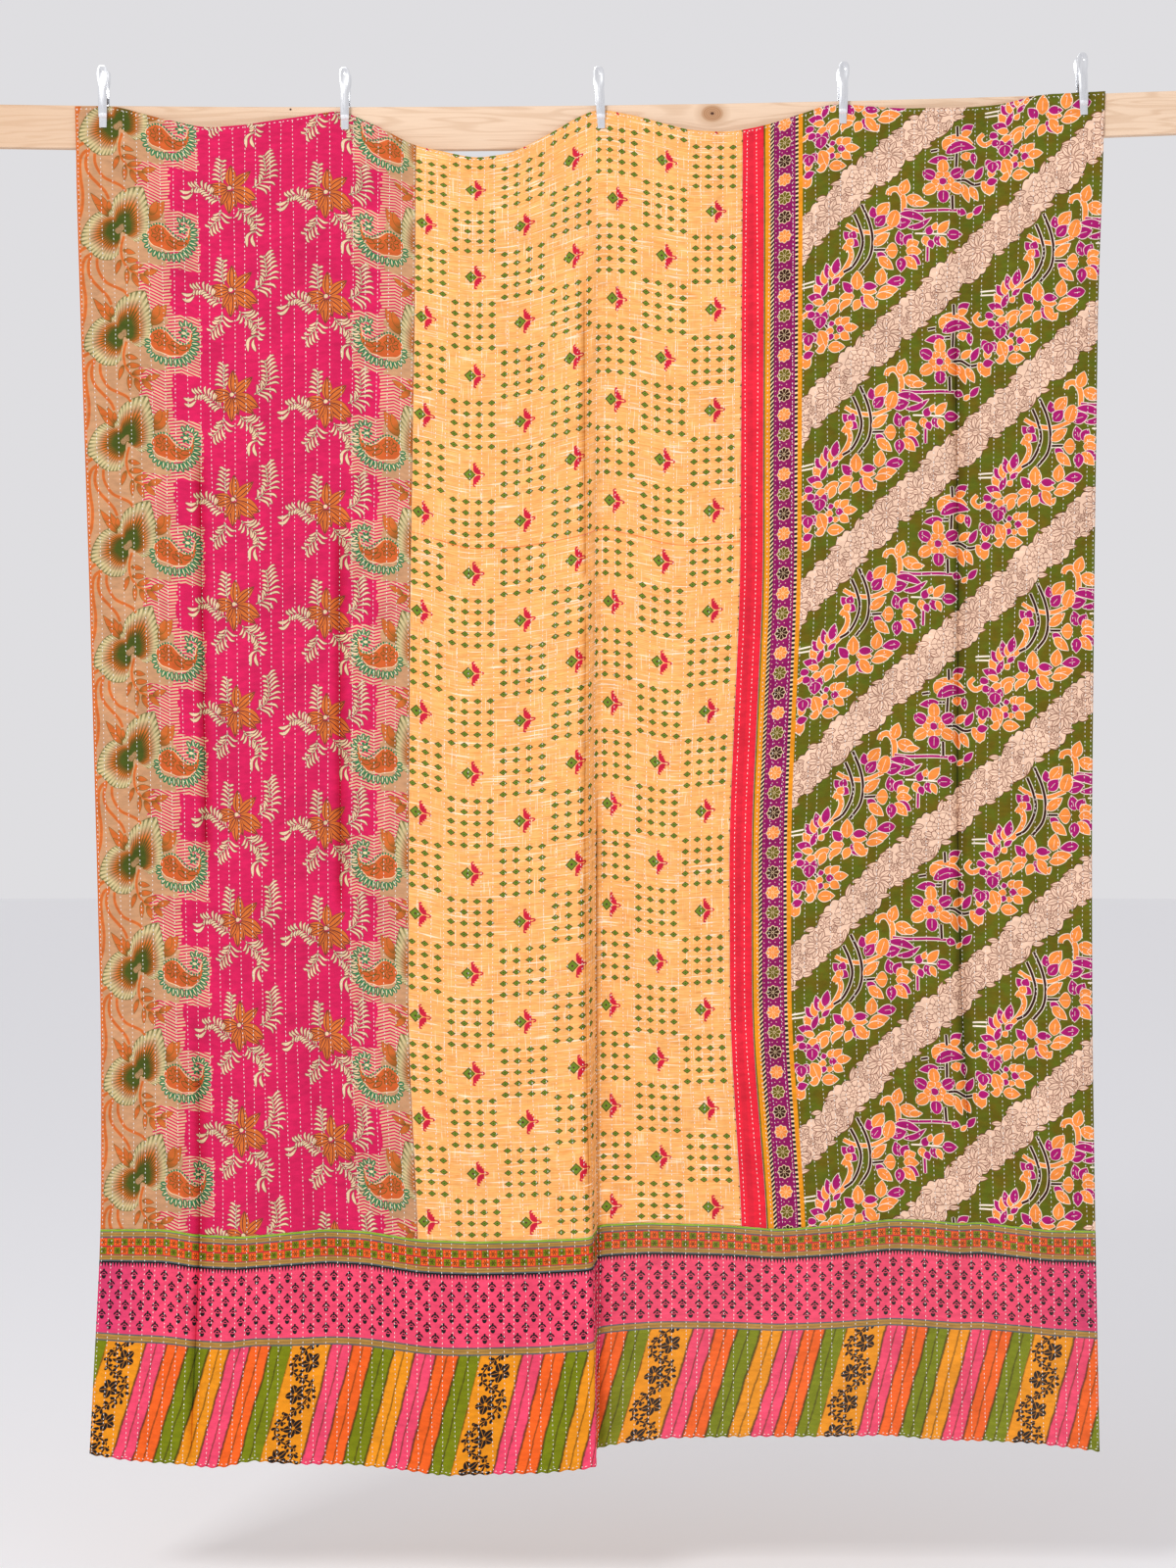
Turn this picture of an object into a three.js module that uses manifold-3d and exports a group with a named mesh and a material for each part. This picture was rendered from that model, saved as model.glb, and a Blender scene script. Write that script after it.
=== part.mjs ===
// A kantha quilt of five sewn cloths, hung by its top edge from a pine rail with five sprung steel clips.
// Millimetres, +Z up, +X to the viewer's right, and the quilt's face looks along -Y.
// The origin is the middle of the rail's back face.

import * as THREE from "three";
import Module from "manifold-3d";

// Driving sizes

const TOUCH = 0.3; // what two pieces that bear on each other keep between them

// The rail is a planed board: tilt and bow give the rise of its edges with x.
const RAIL = { length: 2000, height: 70, thick: 20, ease: 1, tilt: 0.01167, bow: 1.389e-5 };

// Flat sizes of the quilt: length runs down from the top edge, borderSeam is where the border is joined on.
const QUILT = { width: 1735, length: 2205, borderSeam: 1835, seamGap: 0.4 };

// The running stitch draws the layers thin along each row, and they swell between two rows.
const QUILTING = { pitch: 20, thin: 1.5, thick: 3, clearOfEdge: 4 };

// Base hang: the cloth lies on the rail as far down as pinned, then leans forward until freeAt.
// Around a clip it is held flat over pinnedHalf, and the folds open out over pinnedFade.
const HANG = { pinned: 38, freeAt: 130, leanReach: 6, forward: 7, pinnedHalf: 14, pinnedFade: 130 };

// Flat edges of each cloth in the quilt, with its main colour.
const CLOTHS = [
  { name: "paisley_panel", left: 0, right: 563, colour: 0xd22c62 },
  { name: "dotted_panel", left: 563, right: 1132, colour: 0xf2b265 },
  { name: "red_strip", left: 1132, right: 1172, colour: 0xdf2a45 },
  { name: "floral_panel", left: 1172, right: 1735, colour: 0x5d6a1e },
  { name: "border_panel", left: 0, right: 1735, colour: 0xe85478, border: true },
];

// How far down the cloth each cross row of points lies, above the border seam and in the border.
const PANEL_ROWS = [0, 40, 85, 160, 280, 450, 700, 1000, 1300, 1570, 1835];
const BORDER_ROWS = [1835, 1960, 2085, 2205];

// Lines that run down the cloth: flat place across, how softly the cloth turns there, and x at each level.
const LEVELS = [0, 307, 787, 1187, 1507, 1835, 2205];
const LEVEL_REACH = 90;
const HANG_LINES = [
  { line: "left edge", across: 0, reach: 1, x: [-838, -829, -813, -802, -794, -794, -813] },
  { line: "pink seam", across: 563, reach: 30, x: [-280, -282, -290, -293, -294, -277, -272] },
  { line: "fold front", across: 848, reach: 9, x: [-11, -10, -5, -5, -2, 5, 13] },
  { line: "fold back", across: 896, reach: 12, x: [27, 26, 19, 18, 16, 16, 11] },
  { line: "red seam", across: 1132, reach: 20, x: [253, 251, 248, 230, 232, 251, 251] },
  { line: "floral seam", across: 1172, reach: 20, x: [286, 286, 285, 266, 267, 294, 294] },
  { line: "right edge", across: 1735, reach: 1, x: [845, 832, 825, 821, 822, 827, 834] },
];

// Drop of the top edge below the rail's top: it is caught at the clips and sags between them.
const TOP_REACH = 22;
const TOP_EDGE = [
  { across: 0, drop: 2 },
  { across: 65, drop: 1 },
  { across: 140, drop: 22 },
  { across: 215, drop: 39 },
  { across: 283, drop: 34 },
  { across: 438, drop: 8 },
  { across: 504, drop: 37 },
  { across: 559, drop: 68 },
  { across: 665, drop: 90 },
  { across: 728, drop: 81 },
  { across: 792, drop: 49 },
  { across: 848, drop: 16 },
  { across: 888, drop: 6 },
  { across: 948, drop: 17 },
  { across: 1040, drop: 43 },
  { across: 1107, drop: 46 },
  { across: 1178, drop: 34 },
  { across: 1285, drop: -3 },
  { across: 1406, drop: 7 },
  { across: 1503, drop: 6 },
  { across: 1564, drop: 0 },
  { across: 1626, drop: -17 },
  { across: 1735, drop: -23 },
];

// Drop of the border seam below its level, with the jog at the main fold.
const SEAM_REACH = 18;
const BORDER_SEAM = [
  { across: 0, drop: 0 },
  { across: 119, drop: -2 },
  { across: 175, drop: 8 },
  { across: 250, drop: 11 },
  { across: 399, drop: -1 },
  { across: 469, drop: 2 },
  { across: 565, drop: 16 },
  { across: 654, drop: 19 },
  { across: 753, drop: 16 },
  { across: 848, drop: 9 },
  { across: 896, drop: -8 },
  { across: 976, drop: -12 },
  { across: 1103, drop: -8 },
  { across: 1185, drop: -1 },
  { across: 1258, drop: -6 },
  { across: 1387, drop: -18 },
  { across: 1449, drop: -16 },
  { across: 1505, drop: -10 },
  { across: 1532, drop: -13 },
  { across: 1649, drop: 0 },
  { across: 1735, drop: 2 },
];

// Drop of the hem below its level.
const HEM = [
  { across: 0, drop: -2 },
  { across: 63, drop: 7 },
  { across: 147, drop: 10 },
  { across: 190, drop: 18 },
  { across: 230, drop: 18 },
  { across: 272, drop: 6 },
  { across: 355, drop: 13 },
  { across: 438, drop: 13 },
  { across: 521, drop: 21 },
  { across: 603, drop: 32 },
  { across: 763, drop: 25 },
  { across: 848, drop: 12 },
  { across: 896, drop: -12 },
  { across: 932, drop: -20 },
  { across: 1011, drop: -30 },
  { across: 1374, drop: -35 },
  { across: 1458, drop: -27 },
  { across: 1625, drop: -22 },
  { across: 1735, drop: -7 },
];

// Share of the top edge's sag that is left at each distance down the cloth.
const SAG = { down: [0, 190, 760, 1835], share: [1, 0.5, 0.26, 0], reach: 60 };

// Slack of the weave half way down, where it rises or hangs past the sag of the top edge.
const SLACK_REACH = 30;
const SLACK = [
  { across: 0, drop: 0 },
  { across: 438, drop: 0 },
  { across: 563, drop: -20 },
  { across: 648, drop: 0 },
  { across: 900, drop: 0 },
  { across: 1015, drop: 20 },
  { across: 1150, drop: 0 },
  { across: 1735, drop: 0 },
];

// Soft folds: how far each line stands forward of the base hang at the top, chest, middle and hem.
const RELIEF_DOWN = [0, 400, 1100, 2205];
const RELIEF_DOWN_REACH = 150;
const RELIEF = [
  { fold: "left edge", across: 0, reach: 1, forward: [4, 4, 6, 2] },
  { fold: "left flat", across: 60, reach: 25, forward: [3, 4, 8, 6] },
  { fold: "paisley ridge", across: 140, reach: 30, forward: [8, 14, 18, 22] },
  { fold: "paisley crease", across: 190, reach: 12, forward: [10, 8, 7, 8] },
  { fold: "pink belly", across: 290, reach: 45, forward: [14, 14, 16, 16] },
  { fold: "pink crease", across: 415, reach: 14, forward: [6, 5, 6, 6] },
  { fold: "pink seam", across: 560, reach: 40, forward: [14, 12, 8, 8] },
  { fold: "dotted belly", across: 660, reach: 45, forward: [22, 22, 16, 10] },
  { fold: "fold rise", across: 760, reach: 40, forward: [14, 14, 14, 22] },
  { fold: "fold front", across: 848, reach: 9, forward: [10, 20, 32, 50] },
  { fold: "fold back", across: 896, reach: 12, forward: [4, 3, 2, 4] },
  { fold: "right of fold", across: 960, reach: 30, forward: [5, 6, 6, 8] },
  { fold: "second belly", across: 1050, reach: 40, forward: [14, 14, 12, 8] },
  { fold: "red strip", across: 1150, reach: 30, forward: [10, 8, 6, 6] },
  { fold: "rosette rise", across: 1225, reach: 35, forward: [8, 9, 12, 14] },
  { fold: "floral ridge", across: 1310, reach: 35, forward: [4, 8, 14, 18] },
  { fold: "floral hollow", across: 1410, reach: 40, forward: [12, 10, 8, 8] },
  { fold: "floral belly", across: 1480, reach: 30, forward: [14, 12, 12, 10] },
  { fold: "floral crease", across: 1535, reach: 12, forward: [8, 6, 5, 4] },
  { fold: "right belly", across: 1630, reach: 40, forward: [6, 10, 14, 14] },
  { fold: "right edge", across: 1735, reach: 1, forward: [4, 6, 10, 4] },
];

// Clips: place across the cloth, then x, foot height and lean of each clip.
const CLIPS = [
  { across: 48, x: -792, foot: -1.6, lean: 0 },
  { across: 448, x: -397, foot: -4.8, lean: 0 },
  { across: 888, x: 22, foot: -3.2, lean: -2.8 },
  { across: 1303, x: 416, foot: 4.8, lean: 0.9 },
  { across: 1700, x: 810, foot: 19.2, lean: -2.3 },
];

// One stamped arm from its pad down to its foot: height above the foot, half width, how far its inner
// face stands off the jaw plane, and how far the middle is pressed outwards.
const ARM_STEEL = 1.4;
const ARM_JAW = TOUCH + QUILTING.thick + TOUCH;
const ARM_ACROSS = [-1, -0.55, 0, 0.55, 1];
const ARM_PRESSED = [0, 0.35, 1, 0.35, 0];
const ARM = [
  { up: 100, half: 2.6, out: 10.6, pressed: 0 },
  { up: 98, half: 5.8, out: 10.4, pressed: 0 },
  { up: 93.5, half: 8.2, out: 10, pressed: -0.9 },
  { up: 87, half: 8.7, out: 9.5, pressed: -1.2 },
  { up: 78, half: 8.5, out: 8.9, pressed: -0.8 },
  { up: 71, half: 7.1, out: 8.5, pressed: 0 },
  { up: 64, half: 7.1, out: 8.2, pressed: 1.1 },
  { up: 45, half: 7.2, out: 6.8, pressed: 1.3 },
  { up: 24, half: 7, out: 4.6, pressed: 1.1 },
  { up: 18, half: 6.8, out: 3.6, pressed: 0.4 },
  { up: 15.5, half: 6.3, out: 0, pressed: 0 },
  { up: 0, half: 6, out: 0, pressed: 0 },
];
const ARM_HOLE = { up: 89.5, radius: 1.9, sides: 12, depth: 30 };

// The bowed leaf spring that holds the two arms of a clip apart.
const SPRING = { end: 45, endHeight: 3.5, crown: 60, thick: 2.2, width: 9, segments: 4 };

const FINISH = {
  pine: { color: 0xe9cfae, roughness: 0.7, metalness: 0 },
  cotton: { roughness: 0.9, metalness: 0 },
  steel: { color: 0xc9ccd0, roughness: 0.25, metalness: 1 },
  springSteel: { color: 0x8d9094, roughness: 0.35, metalness: 1 },
};

// Curves and solids

const column = (table, name) => table.map((row) => row[name]);

// A line through the knots whose corners are rounded: each turn is spread over its own reach.
function bend(t, knots, values, reach) {
  let slope = (values[1] - values[0]) / (knots[1] - knots[0]);
  let result = values[0] + slope * (t - knots[0]);
  for (let i = 1; i < knots.length - 1; i += 1) {
    const next = (values[i + 1] - values[i]) / (knots[i + 1] - knots[i]);
    const r = Array.isArray(reach) ? reach[i] : reach;
    const past = THREE.MathUtils.clamp(t - knots[i], -r, r);
    result += (next - slope) * ((past + r) ** 2 / (4 * r) + Math.max(t - knots[i] - r, 0));
    slope = next;
  }
  return result;
}

const dropAt = (table, u, reach) => bend(u, column(table, "across"), column(table, "drop"), reach);

// A closed skin over two grids of points, outside and inside, with the rim that joins them.
// Rows run downwards and each row runs to the right, as seen from outside.
function shell(outside, inside) {
  const rows = outside.length;
  const cols = outside[0].length;
  const points = [...outside.flat(), ...inside.flat()];
  const at = (j, i) => j * cols + i;
  const under = rows * cols;
  const faces = [];
  for (let j = 0; j + 1 < rows; j += 1) {
    for (let i = 0; i + 1 < cols; i += 1) {
      const [a, b, c, d] = [at(j, i), at(j, i + 1), at(j + 1, i), at(j + 1, i + 1)];
      faces.push(a, c, d, a, d, b);
      faces.push(under + a, under + d, under + c, under + a, under + b, under + d);
    }
  }
  const rim = [];
  for (let j = 0; j < rows - 1; j += 1) rim.push(at(j, 0));
  for (let i = 0; i < cols - 1; i += 1) rim.push(at(rows - 1, i));
  for (let j = rows - 1; j > 0; j -= 1) rim.push(at(j, cols - 1));
  for (let i = cols - 1; i > 0; i -= 1) rim.push(at(0, i));
  rim.forEach((p, k) => {
    const q = rim[(k + 1) % rim.length];
    faces.push(q, p, under + p, q, under + p, under + q);
  });
  return new THREE.BufferGeometry().setFromPoints(points).setIndex(faces);
}

function piece(name, geometry, finish) {
  const mesh = new THREE.Mesh(geometry, new THREE.MeshStandardMaterial(finish));
  mesh.name = name;
  return mesh;
}

// Rail

function railGeometry() {
  const half = RAIL.length / 2;
  const rise = (x) => RAIL.tilt * x + RAIL.bow * x * x;
  const handle = -RAIL.bow * half * half;
  const top = RAIL.height / 2;
  const outline = new THREE.Shape();
  outline.moveTo(-half, rise(-half) - top);
  outline.quadraticCurveTo(0, handle - top, half, rise(half) - top);
  outline.lineTo(half, rise(half) + top);
  outline.quadraticCurveTo(0, handle + top, -half, rise(-half) + top);
  outline.closePath();
  const geometry = new THREE.ExtrudeGeometry(outline, {
    depth: RAIL.thick - 2 * RAIL.ease,
    curveSegments: 10,
    bevelThickness: RAIL.ease,
    bevelSize: RAIL.ease,
    bevelOffset: -RAIL.ease,
    bevelSegments: 1,
  });
  return geometry.translate(0, 0, RAIL.ease).rotateX(Math.PI / 2);
}

// Quilt

// How free the cloth is of the clips: 0 under a jaw, 1 well away from all of them.
function freedom(u, v) {
  const shares = CLIPS.map((clip) => {
    const away = Math.hypot(u - clip.across, Math.max(v - HANG.pinned, 0));
    return THREE.MathUtils.smoothstep(away, HANG.pinnedHalf, HANG.pinnedHalf + HANG.pinnedFade);
  });
  return Math.min(...shares);
}

function forwardAt(u, v) {
  const hangDown = [0, HANG.pinned, HANG.freeAt, QUILT.length];
  const base = bend(v, hangDown, [0, 0, HANG.forward, HANG.forward], HANG.leanReach);
  const folds = RELIEF.map((row) => bend(v, RELIEF_DOWN, row.forward, RELIEF_DOWN_REACH));
  const relief = bend(u, column(RELIEF, "across"), folds, column(RELIEF, "reach"));
  return base + freedom(u, v) * relief;
}

function dropBelow(u, v) {
  const seam = dropAt(BORDER_SEAM, u, SEAM_REACH);
  if (v > QUILT.borderSeam) {
    const part = (v - QUILT.borderSeam) / (QUILT.length - QUILT.borderSeam);
    return THREE.MathUtils.lerp(seam, dropAt(HEM, u, SEAM_REACH), part);
  }
  const share = bend(v, SAG.down, SAG.share, SAG.reach);
  const slack = dropAt(SLACK, u, SLACK_REACH) * Math.sin((Math.PI * v) / QUILT.borderSeam);
  return THREE.MathUtils.lerp(seam, dropAt(TOP_EDGE, u, TOP_REACH), share) + slack;
}

// The middle of the cloth's thickness at a flat place: u across from the left edge, v down from the top.
function drape(u, v) {
  const lines = HANG_LINES.map((line) => bend(v, LEVELS, line.x, LEVEL_REACH));
  const x = bend(u, column(HANG_LINES, "across"), lines, column(HANG_LINES, "reach"));
  const y = -RAIL.thick - TOUCH - QUILTING.thick / 2 - forwardAt(u, v);
  const z = RAIL.height / 2 - v - dropBelow(u, v);
  return new THREE.Vector3(x, y, z);
}

// The direction that the cloth's face looks in.
function facing(u, v) {
  const step = 1;
  const across = drape(u + step, v).sub(drape(u - step, v));
  const down = drape(u, v + step).sub(drape(u, v - step));
  return down.cross(across).normalize();
}

const thicknessAt = (u) =>
  THREE.MathUtils.lerp(QUILTING.thin, QUILTING.thick, Math.sin((Math.PI * u) / QUILTING.pitch) ** 2);

// Columns of points: on every stitched row, between every two rows, and along the two edges.
function columnsOf(left, right) {
  const step = QUILTING.pitch / 2;
  const last = right - QUILTING.clearOfEdge;
  const columns = [left];
  for (let u = step * Math.ceil((left + QUILTING.clearOfEdge) / step); u < last; u += step) columns.push(u);
  return [...columns, right];
}

// A cloth's flat edges, drawn in by half the seam's gap where it joins a neighbour.
function clothGeometry(cloth) {
  const inset = QUILT.seamGap / 2;
  const left = cloth.left > 0 ? cloth.left + inset : 0;
  const right = cloth.right < QUILT.width ? cloth.right - inset : QUILT.width;
  const columns = columnsOf(left, right);
  const rows = cloth.border ? [...BORDER_ROWS] : [...PANEL_ROWS];
  if (cloth.border) rows[0] += inset;
  else rows[rows.length - 1] -= inset;
  const point = (u, v, sign) => drape(u, v).addScaledVector(facing(u, v), (sign * thicknessAt(u)) / 2);
  const side = (sign) => rows.map((v) => columns.map((u) => point(u, v, sign)));
  return shell(side(1), side(-1));
}

// Clips

const wasm = await Module();
wasm.setup();

const asSolid = (geometry) =>
  new wasm.Manifold(
    new wasm.Mesh({
      numProp: 3,
      vertProperties: new Float32Array(geometry.getAttribute("position").array),
      triVerts: new Uint32Array(geometry.index.array),
    }),
  );

function asGeometry(solid) {
  const mesh = solid.getMesh();
  return new THREE.BufferGeometry()
    .setAttribute("position", new THREE.BufferAttribute(mesh.vertProperties, 3))
    .setIndex(new THREE.BufferAttribute(mesh.triVerts, 1));
}

// A round punch along Y, as a closed skin: its two rings and a middle point at each end.
function punch(radius, sides, depth) {
  const ring = (y) =>
    Array.from({ length: sides }, (_, k) => {
      const turn = (2 * Math.PI * k) / sides;
      return new THREE.Vector3(radius * Math.cos(turn), y, radius * Math.sin(turn));
    });
  const points = [...ring(-depth / 2), ...ring(depth / 2)];
  points.push(new THREE.Vector3(0, -depth / 2, 0), new THREE.Vector3(0, depth / 2, 0));
  const faces = [];
  for (let k = 0; k < sides; k += 1) {
    const n = (k + 1) % sides;
    faces.push(k, n, 2 * sides, sides + k, 2 * sides + 1, sides + n);
    faces.push(k, sides + k, n, n, sides + k, sides + n);
  }
  return new THREE.BufferGeometry().setFromPoints(points).setIndex(faces);
}

// An arm that faces -Y, with its foot's inner face on the jaw plane y = 0 and a hole through its pad.
function armGeometry() {
  const side = (steel) =>
    ARM.map((row) =>
      ARM_ACROSS.map((share, i) => {
        const out = row.out + row.pressed * ARM_PRESSED[i] + steel;
        return new THREE.Vector3(share * row.half, -out, row.up);
      }),
    );
  const hole = punch(ARM_HOLE.radius, ARM_HOLE.sides, ARM_HOLE.depth).translate(0, 0, ARM_HOLE.up);
  return asGeometry(asSolid(shell(side(ARM_STEEL), side(0))).subtract(asSolid(hole)));
}

// The spring's section across the clip, bowed up between the inner faces of the two arms.
function springGeometry(front, back) {
  const middle = (front + back) / 2;
  const low = SPRING.end - SPRING.endHeight;
  const under = SPRING.crown - SPRING.thick;
  const section = new THREE.Shape();
  section.moveTo(front, low);
  section.quadraticCurveTo((front + middle) / 2, under, middle, under);
  section.quadraticCurveTo((back + middle) / 2, under, back, low);
  section.lineTo(back, SPRING.end);
  section.quadraticCurveTo((back + middle) / 2, SPRING.crown, middle, SPRING.crown);
  section.quadraticCurveTo((front + middle) / 2, SPRING.crown, front, SPRING.end);
  section.closePath();
  const geometry = new THREE.ExtrudeGeometry(section, {
    depth: SPRING.width,
    curveSegments: SPRING.segments,
    bevelEnabled: false,
  });
  const axes = new THREE.Matrix4().makeBasis(
    new THREE.Vector3(0, 1, 0),
    new THREE.Vector3(0, 0, 1),
    new THREE.Vector3(1, 0, 0),
  );
  return geometry.translate(0, 0, -SPRING.width / 2).applyMatrix4(axes);
}

function clipGroup(clip, number) {
  const name = `clip_${number}`;
  const frontJaw = -RAIL.thick - ARM_JAW;
  const upwards = [...ARM].reverse();
  const springFoot = SPRING.end - SPRING.endHeight;
  const reach = bend(springFoot, column(upwards, "up"), column(upwards, "out"), 1) - TOUCH;
  const front = piece(`${name}_front_arm`, armGeometry(), FINISH.steel);
  front.position.y = frontJaw;
  const back = piece(`${name}_back_arm`, armGeometry(), FINISH.steel);
  back.position.y = TOUCH;
  back.rotation.z = Math.PI;
  const leaf = springGeometry(frontJaw - reach, TOUCH + reach);
  const spring = piece(`${name}_spring`, leaf, FINISH.springSteel);
  const group = new THREE.Group().add(front, back, spring);
  group.position.set(clip.x, 0, clip.foot);
  group.rotation.y = THREE.MathUtils.degToRad(clip.lean);
  return group;
}

// The whole part

const part = new THREE.Group();
part.add(piece("rail", railGeometry(), FINISH.pine));
CLOTHS.forEach((cloth) => {
  part.add(piece(cloth.name, clothGeometry(cloth), { ...FINISH.cotton, color: cloth.colour }));
});
CLIPS.forEach((clip, k) => part.add(clipGroup(clip, k + 1)));

export default part;
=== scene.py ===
"""Dresses a kantha quilt on a pine rail: printed cloths, running stitch, rail, clips and stage."""

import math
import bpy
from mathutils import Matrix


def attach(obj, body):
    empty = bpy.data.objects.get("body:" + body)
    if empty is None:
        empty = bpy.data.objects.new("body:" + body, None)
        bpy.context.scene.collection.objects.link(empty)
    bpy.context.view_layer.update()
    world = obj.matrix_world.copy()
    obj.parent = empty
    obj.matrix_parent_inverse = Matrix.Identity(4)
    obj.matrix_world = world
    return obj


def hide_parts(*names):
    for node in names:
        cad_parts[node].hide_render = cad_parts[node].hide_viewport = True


bl_info = {
    "name": "Kantha Quilt on a Pine Rail",
    "version": (1, 0, 0),
    "blender": (4, 5, 0),
    "location": "View3D > Sidebar > Quilt",
    "description": "Printed cloths, running stitch, rail and clips for a hung kantha quilt",
    "category": "Object",
}

import bmesh
import bpy
import numpy as np
from bpy.props import FloatProperty, FloatVectorProperty, PointerProperty
from mathutils import Matrix, Vector
from mathutils.bvhtree import BVHTree

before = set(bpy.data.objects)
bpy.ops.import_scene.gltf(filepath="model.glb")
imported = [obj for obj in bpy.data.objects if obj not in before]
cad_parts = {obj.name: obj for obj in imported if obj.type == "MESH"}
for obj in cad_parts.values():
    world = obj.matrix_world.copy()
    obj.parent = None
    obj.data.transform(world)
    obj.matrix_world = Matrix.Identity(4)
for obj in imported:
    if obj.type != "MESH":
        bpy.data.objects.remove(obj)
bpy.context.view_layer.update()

MM = 0.001


def linear(hex_colour):
    """An sRGB hex colour as linear red, green, blue and alpha."""
    parts = [int(hex_colour[i : i + 2], 16) / 255 for i in (1, 3, 5)]
    return (*[c / 12.92 if c < 0.04045 else ((c + 0.055) / 1.055) ** 2.4 for c in parts], 1.0)


# Colours of the dyes and finishes, with what each is used for.

COLOURS = {
    "pink": ("#d01e55", "field of the left cloth"),
    "tan": ("#c2916a", "edges of the left cloth"),
    "rust": ("#cf6a2c", "leaves of the left cloth"),
    "petal": ("#d06c2e", "flowers of the left cloth"),
    "mango": ("#cb5d2b", "paisleys of the left cloth"),
    "cream": ("#eccfa4", "sprays of the left cloth"),
    "plum": ("#54222e", "outlines on the left cloth"),
    "moss": ("#465018", "shaded leaves of the left cloth"),
    "walnut": ("#8a4f1e", "shaded leaves of the left cloth"),
    "sage": ("#cdb988", "rims of the leaves on the left cloth"),
    "jade": ("#2c7a4e", "beads round the paisleys"),
    "yellow": ("#fab96f", "ground of the middle cloth"),
    # The slub colour also paints light on the border right of its big fold.
    "slub": ("#fdebd0", "pale slub threads"),
    "weft": ("#f09d50", "darker weft threads of the middle cloth"),
    "leaf": ("#6d8526", "dots of the middle cloth"),
    "bark": ("#3d3414", "outlines on the middle cloth"),
    "crimson": ("#c9203b", "wings of the middle cloth"),
    "red": ("#e9263a", "narrow strip"),
    "deep_red": ("#bd2536", "fold mark of the strip"),
    "olive": ("#66590e", "ground of the right cloth"),
    "fern": ("#5c6414", "clouding of the right cloth"),
    "orange": ("#f58f3f", "flowers of the right cloth"),
    "purple": ("#a8176a", "flowers of the right cloth"),
    "plum_band": ("#8a1458", "rosette band of the right cloth"),
    "ivory": ("#fdecd9", "outlines on the right cloth"),
    "umber": ("#38180f", "stems of the right cloth"),
    "peach": ("#efc9ae", "slanting bands of the right cloth"),
    "sepia": ("#7a4636", "line drawing on the slanting bands"),
    "rose": ("#ec496b", "field of the border"),
    "ochre": ("#ad8340", "narrow bands of the border"),
    "slate": ("#566066", "edges of the narrow bands"),
    "soot": ("#1f1b1d", "black print of the border"),
    "mustard": ("#e8921c", "broad slanted stripes"),
    "tangerine": ("#f06322", "slanted stripes"),
    "grass": ("#77800f", "slanted stripes and checks"),
    "lime": ("#8fb02a", "line along the border's top edge"),
    "backing": ("#d9a35f", "plain back of the quilt"),
    "thread": ("#fbf9f5", "running stitch"),
    "pine": ("#e6c9ad", "pale wood of the rail"),
    # The dark pine also paints shade toward the rail's left end.
    "pine_dark": ("#c29b78", "late wood of the rail"),
    "knot": ("#a8764f", "knots in the rail"),
    "plating": ("#f2f3f5", "plated steel"),
    "plating_dark": ("#9da1a7", "streaks in the steel"),
    "spring": ("#8c9095", "spring steel"),
    "floor": ("#f7f7f9", "floor"),
    "air": ("#f6f5f8", "light all round"),
}


class QuiltColours(bpy.types.PropertyGroup):
    """Colours of the quilt, its rail and its stage."""

    __annotations__ = {
        name: FloatVectorProperty(
            name=name.replace("_", " ").capitalize(),
            description="Colour of the " + use,
            subtype="COLOR",
            size=4,
            min=0.0,
            max=1.0,
            default=linear(value),
        )
        for name, (value, use) in COLOURS.items()
    }


# Sizes of the quilting and the stage in millimetres, with what each is.

SIZES = {
    "row_pitch": (20, "Spacing of the stitch rows"),
    "stitch_pitch": (7.4, "From one stitch to the next"),
    "stitch_length": (4.4, "Thread that shows"),
    "stitch_width": (1.6, "Width of the thread"),
    "thin": (1.5, "Thickness along a stitch row"),
    "thick": (3.0, "Thickness between two rows"),
    "floor_height": (-2400, "Height of the floor"),
}


class QuiltSizes(bpy.types.PropertyGroup):
    """Sizes of the quilting and the stage."""

    __annotations__ = {
        name: FloatProperty(
            name=name.replace("_", " ").capitalize(),
            description=use,
            subtype="DISTANCE",
            unit="LENGTH",
            default=value * MM,
        )
        for name, (value, use) in SIZES.items()
    }


def inks():
    """The colours that the user has set."""
    return bpy.context.scene.quilt_colours


def sizes():
    """The sizes that the user has set."""
    return bpy.context.scene.quilt_sizes


# The hang of the cloth, in millimetres: u runs across the flat quilt and v down it.

RAIL_FACE = -20.3
RAIL_TOP = 35.0
WIDTH = 1735
LENGTH = 2205.0
BORDER_SEAM_AT = 1835.0
SEAM_GAP = 0.2
CLIPS_ACROSS = (48, 448, 888, 1303, 1700)
LEVELS = (0, 307, 787, 1187, 1507, 1835, 2205)
HANG_LINES = (
    (0, 1, (-838, -829, -813, -802, -794, -794, -813)),
    (563, 30, (-280, -282, -290, -293, -294, -277, -272)),
    (848, 9, (-11, -10, -5, -5, -2, 5, 13)),
    (896, 12, (27, 26, 19, 18, 16, 16, 11)),
    (1132, 20, (253, 251, 248, 230, 232, 251, 251)),
    (1172, 20, (286, 286, 285, 266, 267, 294, 294)),
    (1735, 1, (845, 832, 825, 821, 822, 827, 834)),
)
TOP_EDGE = (
    (0, 65, 140, 215, 283, 438, 504, 559, 665, 728, 792, 848, 888, 948, 1040, 1107, 1178, 1285, 1406, 1503,
     1564, 1626, 1735),
    (2, 1, 22, 39, 34, 8, 37, 68, 90, 81, 49, 16, 6, 17, 43, 46, 34, -3, 7, 6, 0, -17, -23),
)
BORDER_SEAM = (
    (0, 119, 175, 250, 399, 469, 565, 654, 753, 848, 896, 976, 1103, 1185, 1258, 1387, 1449, 1505, 1532,
     1649, 1735),
    (0, -2, 8, 11, -1, 2, 16, 19, 16, 9, -8, -12, -8, -1, -6, -18, -16, -10, -13, 0, 2),
)
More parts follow.
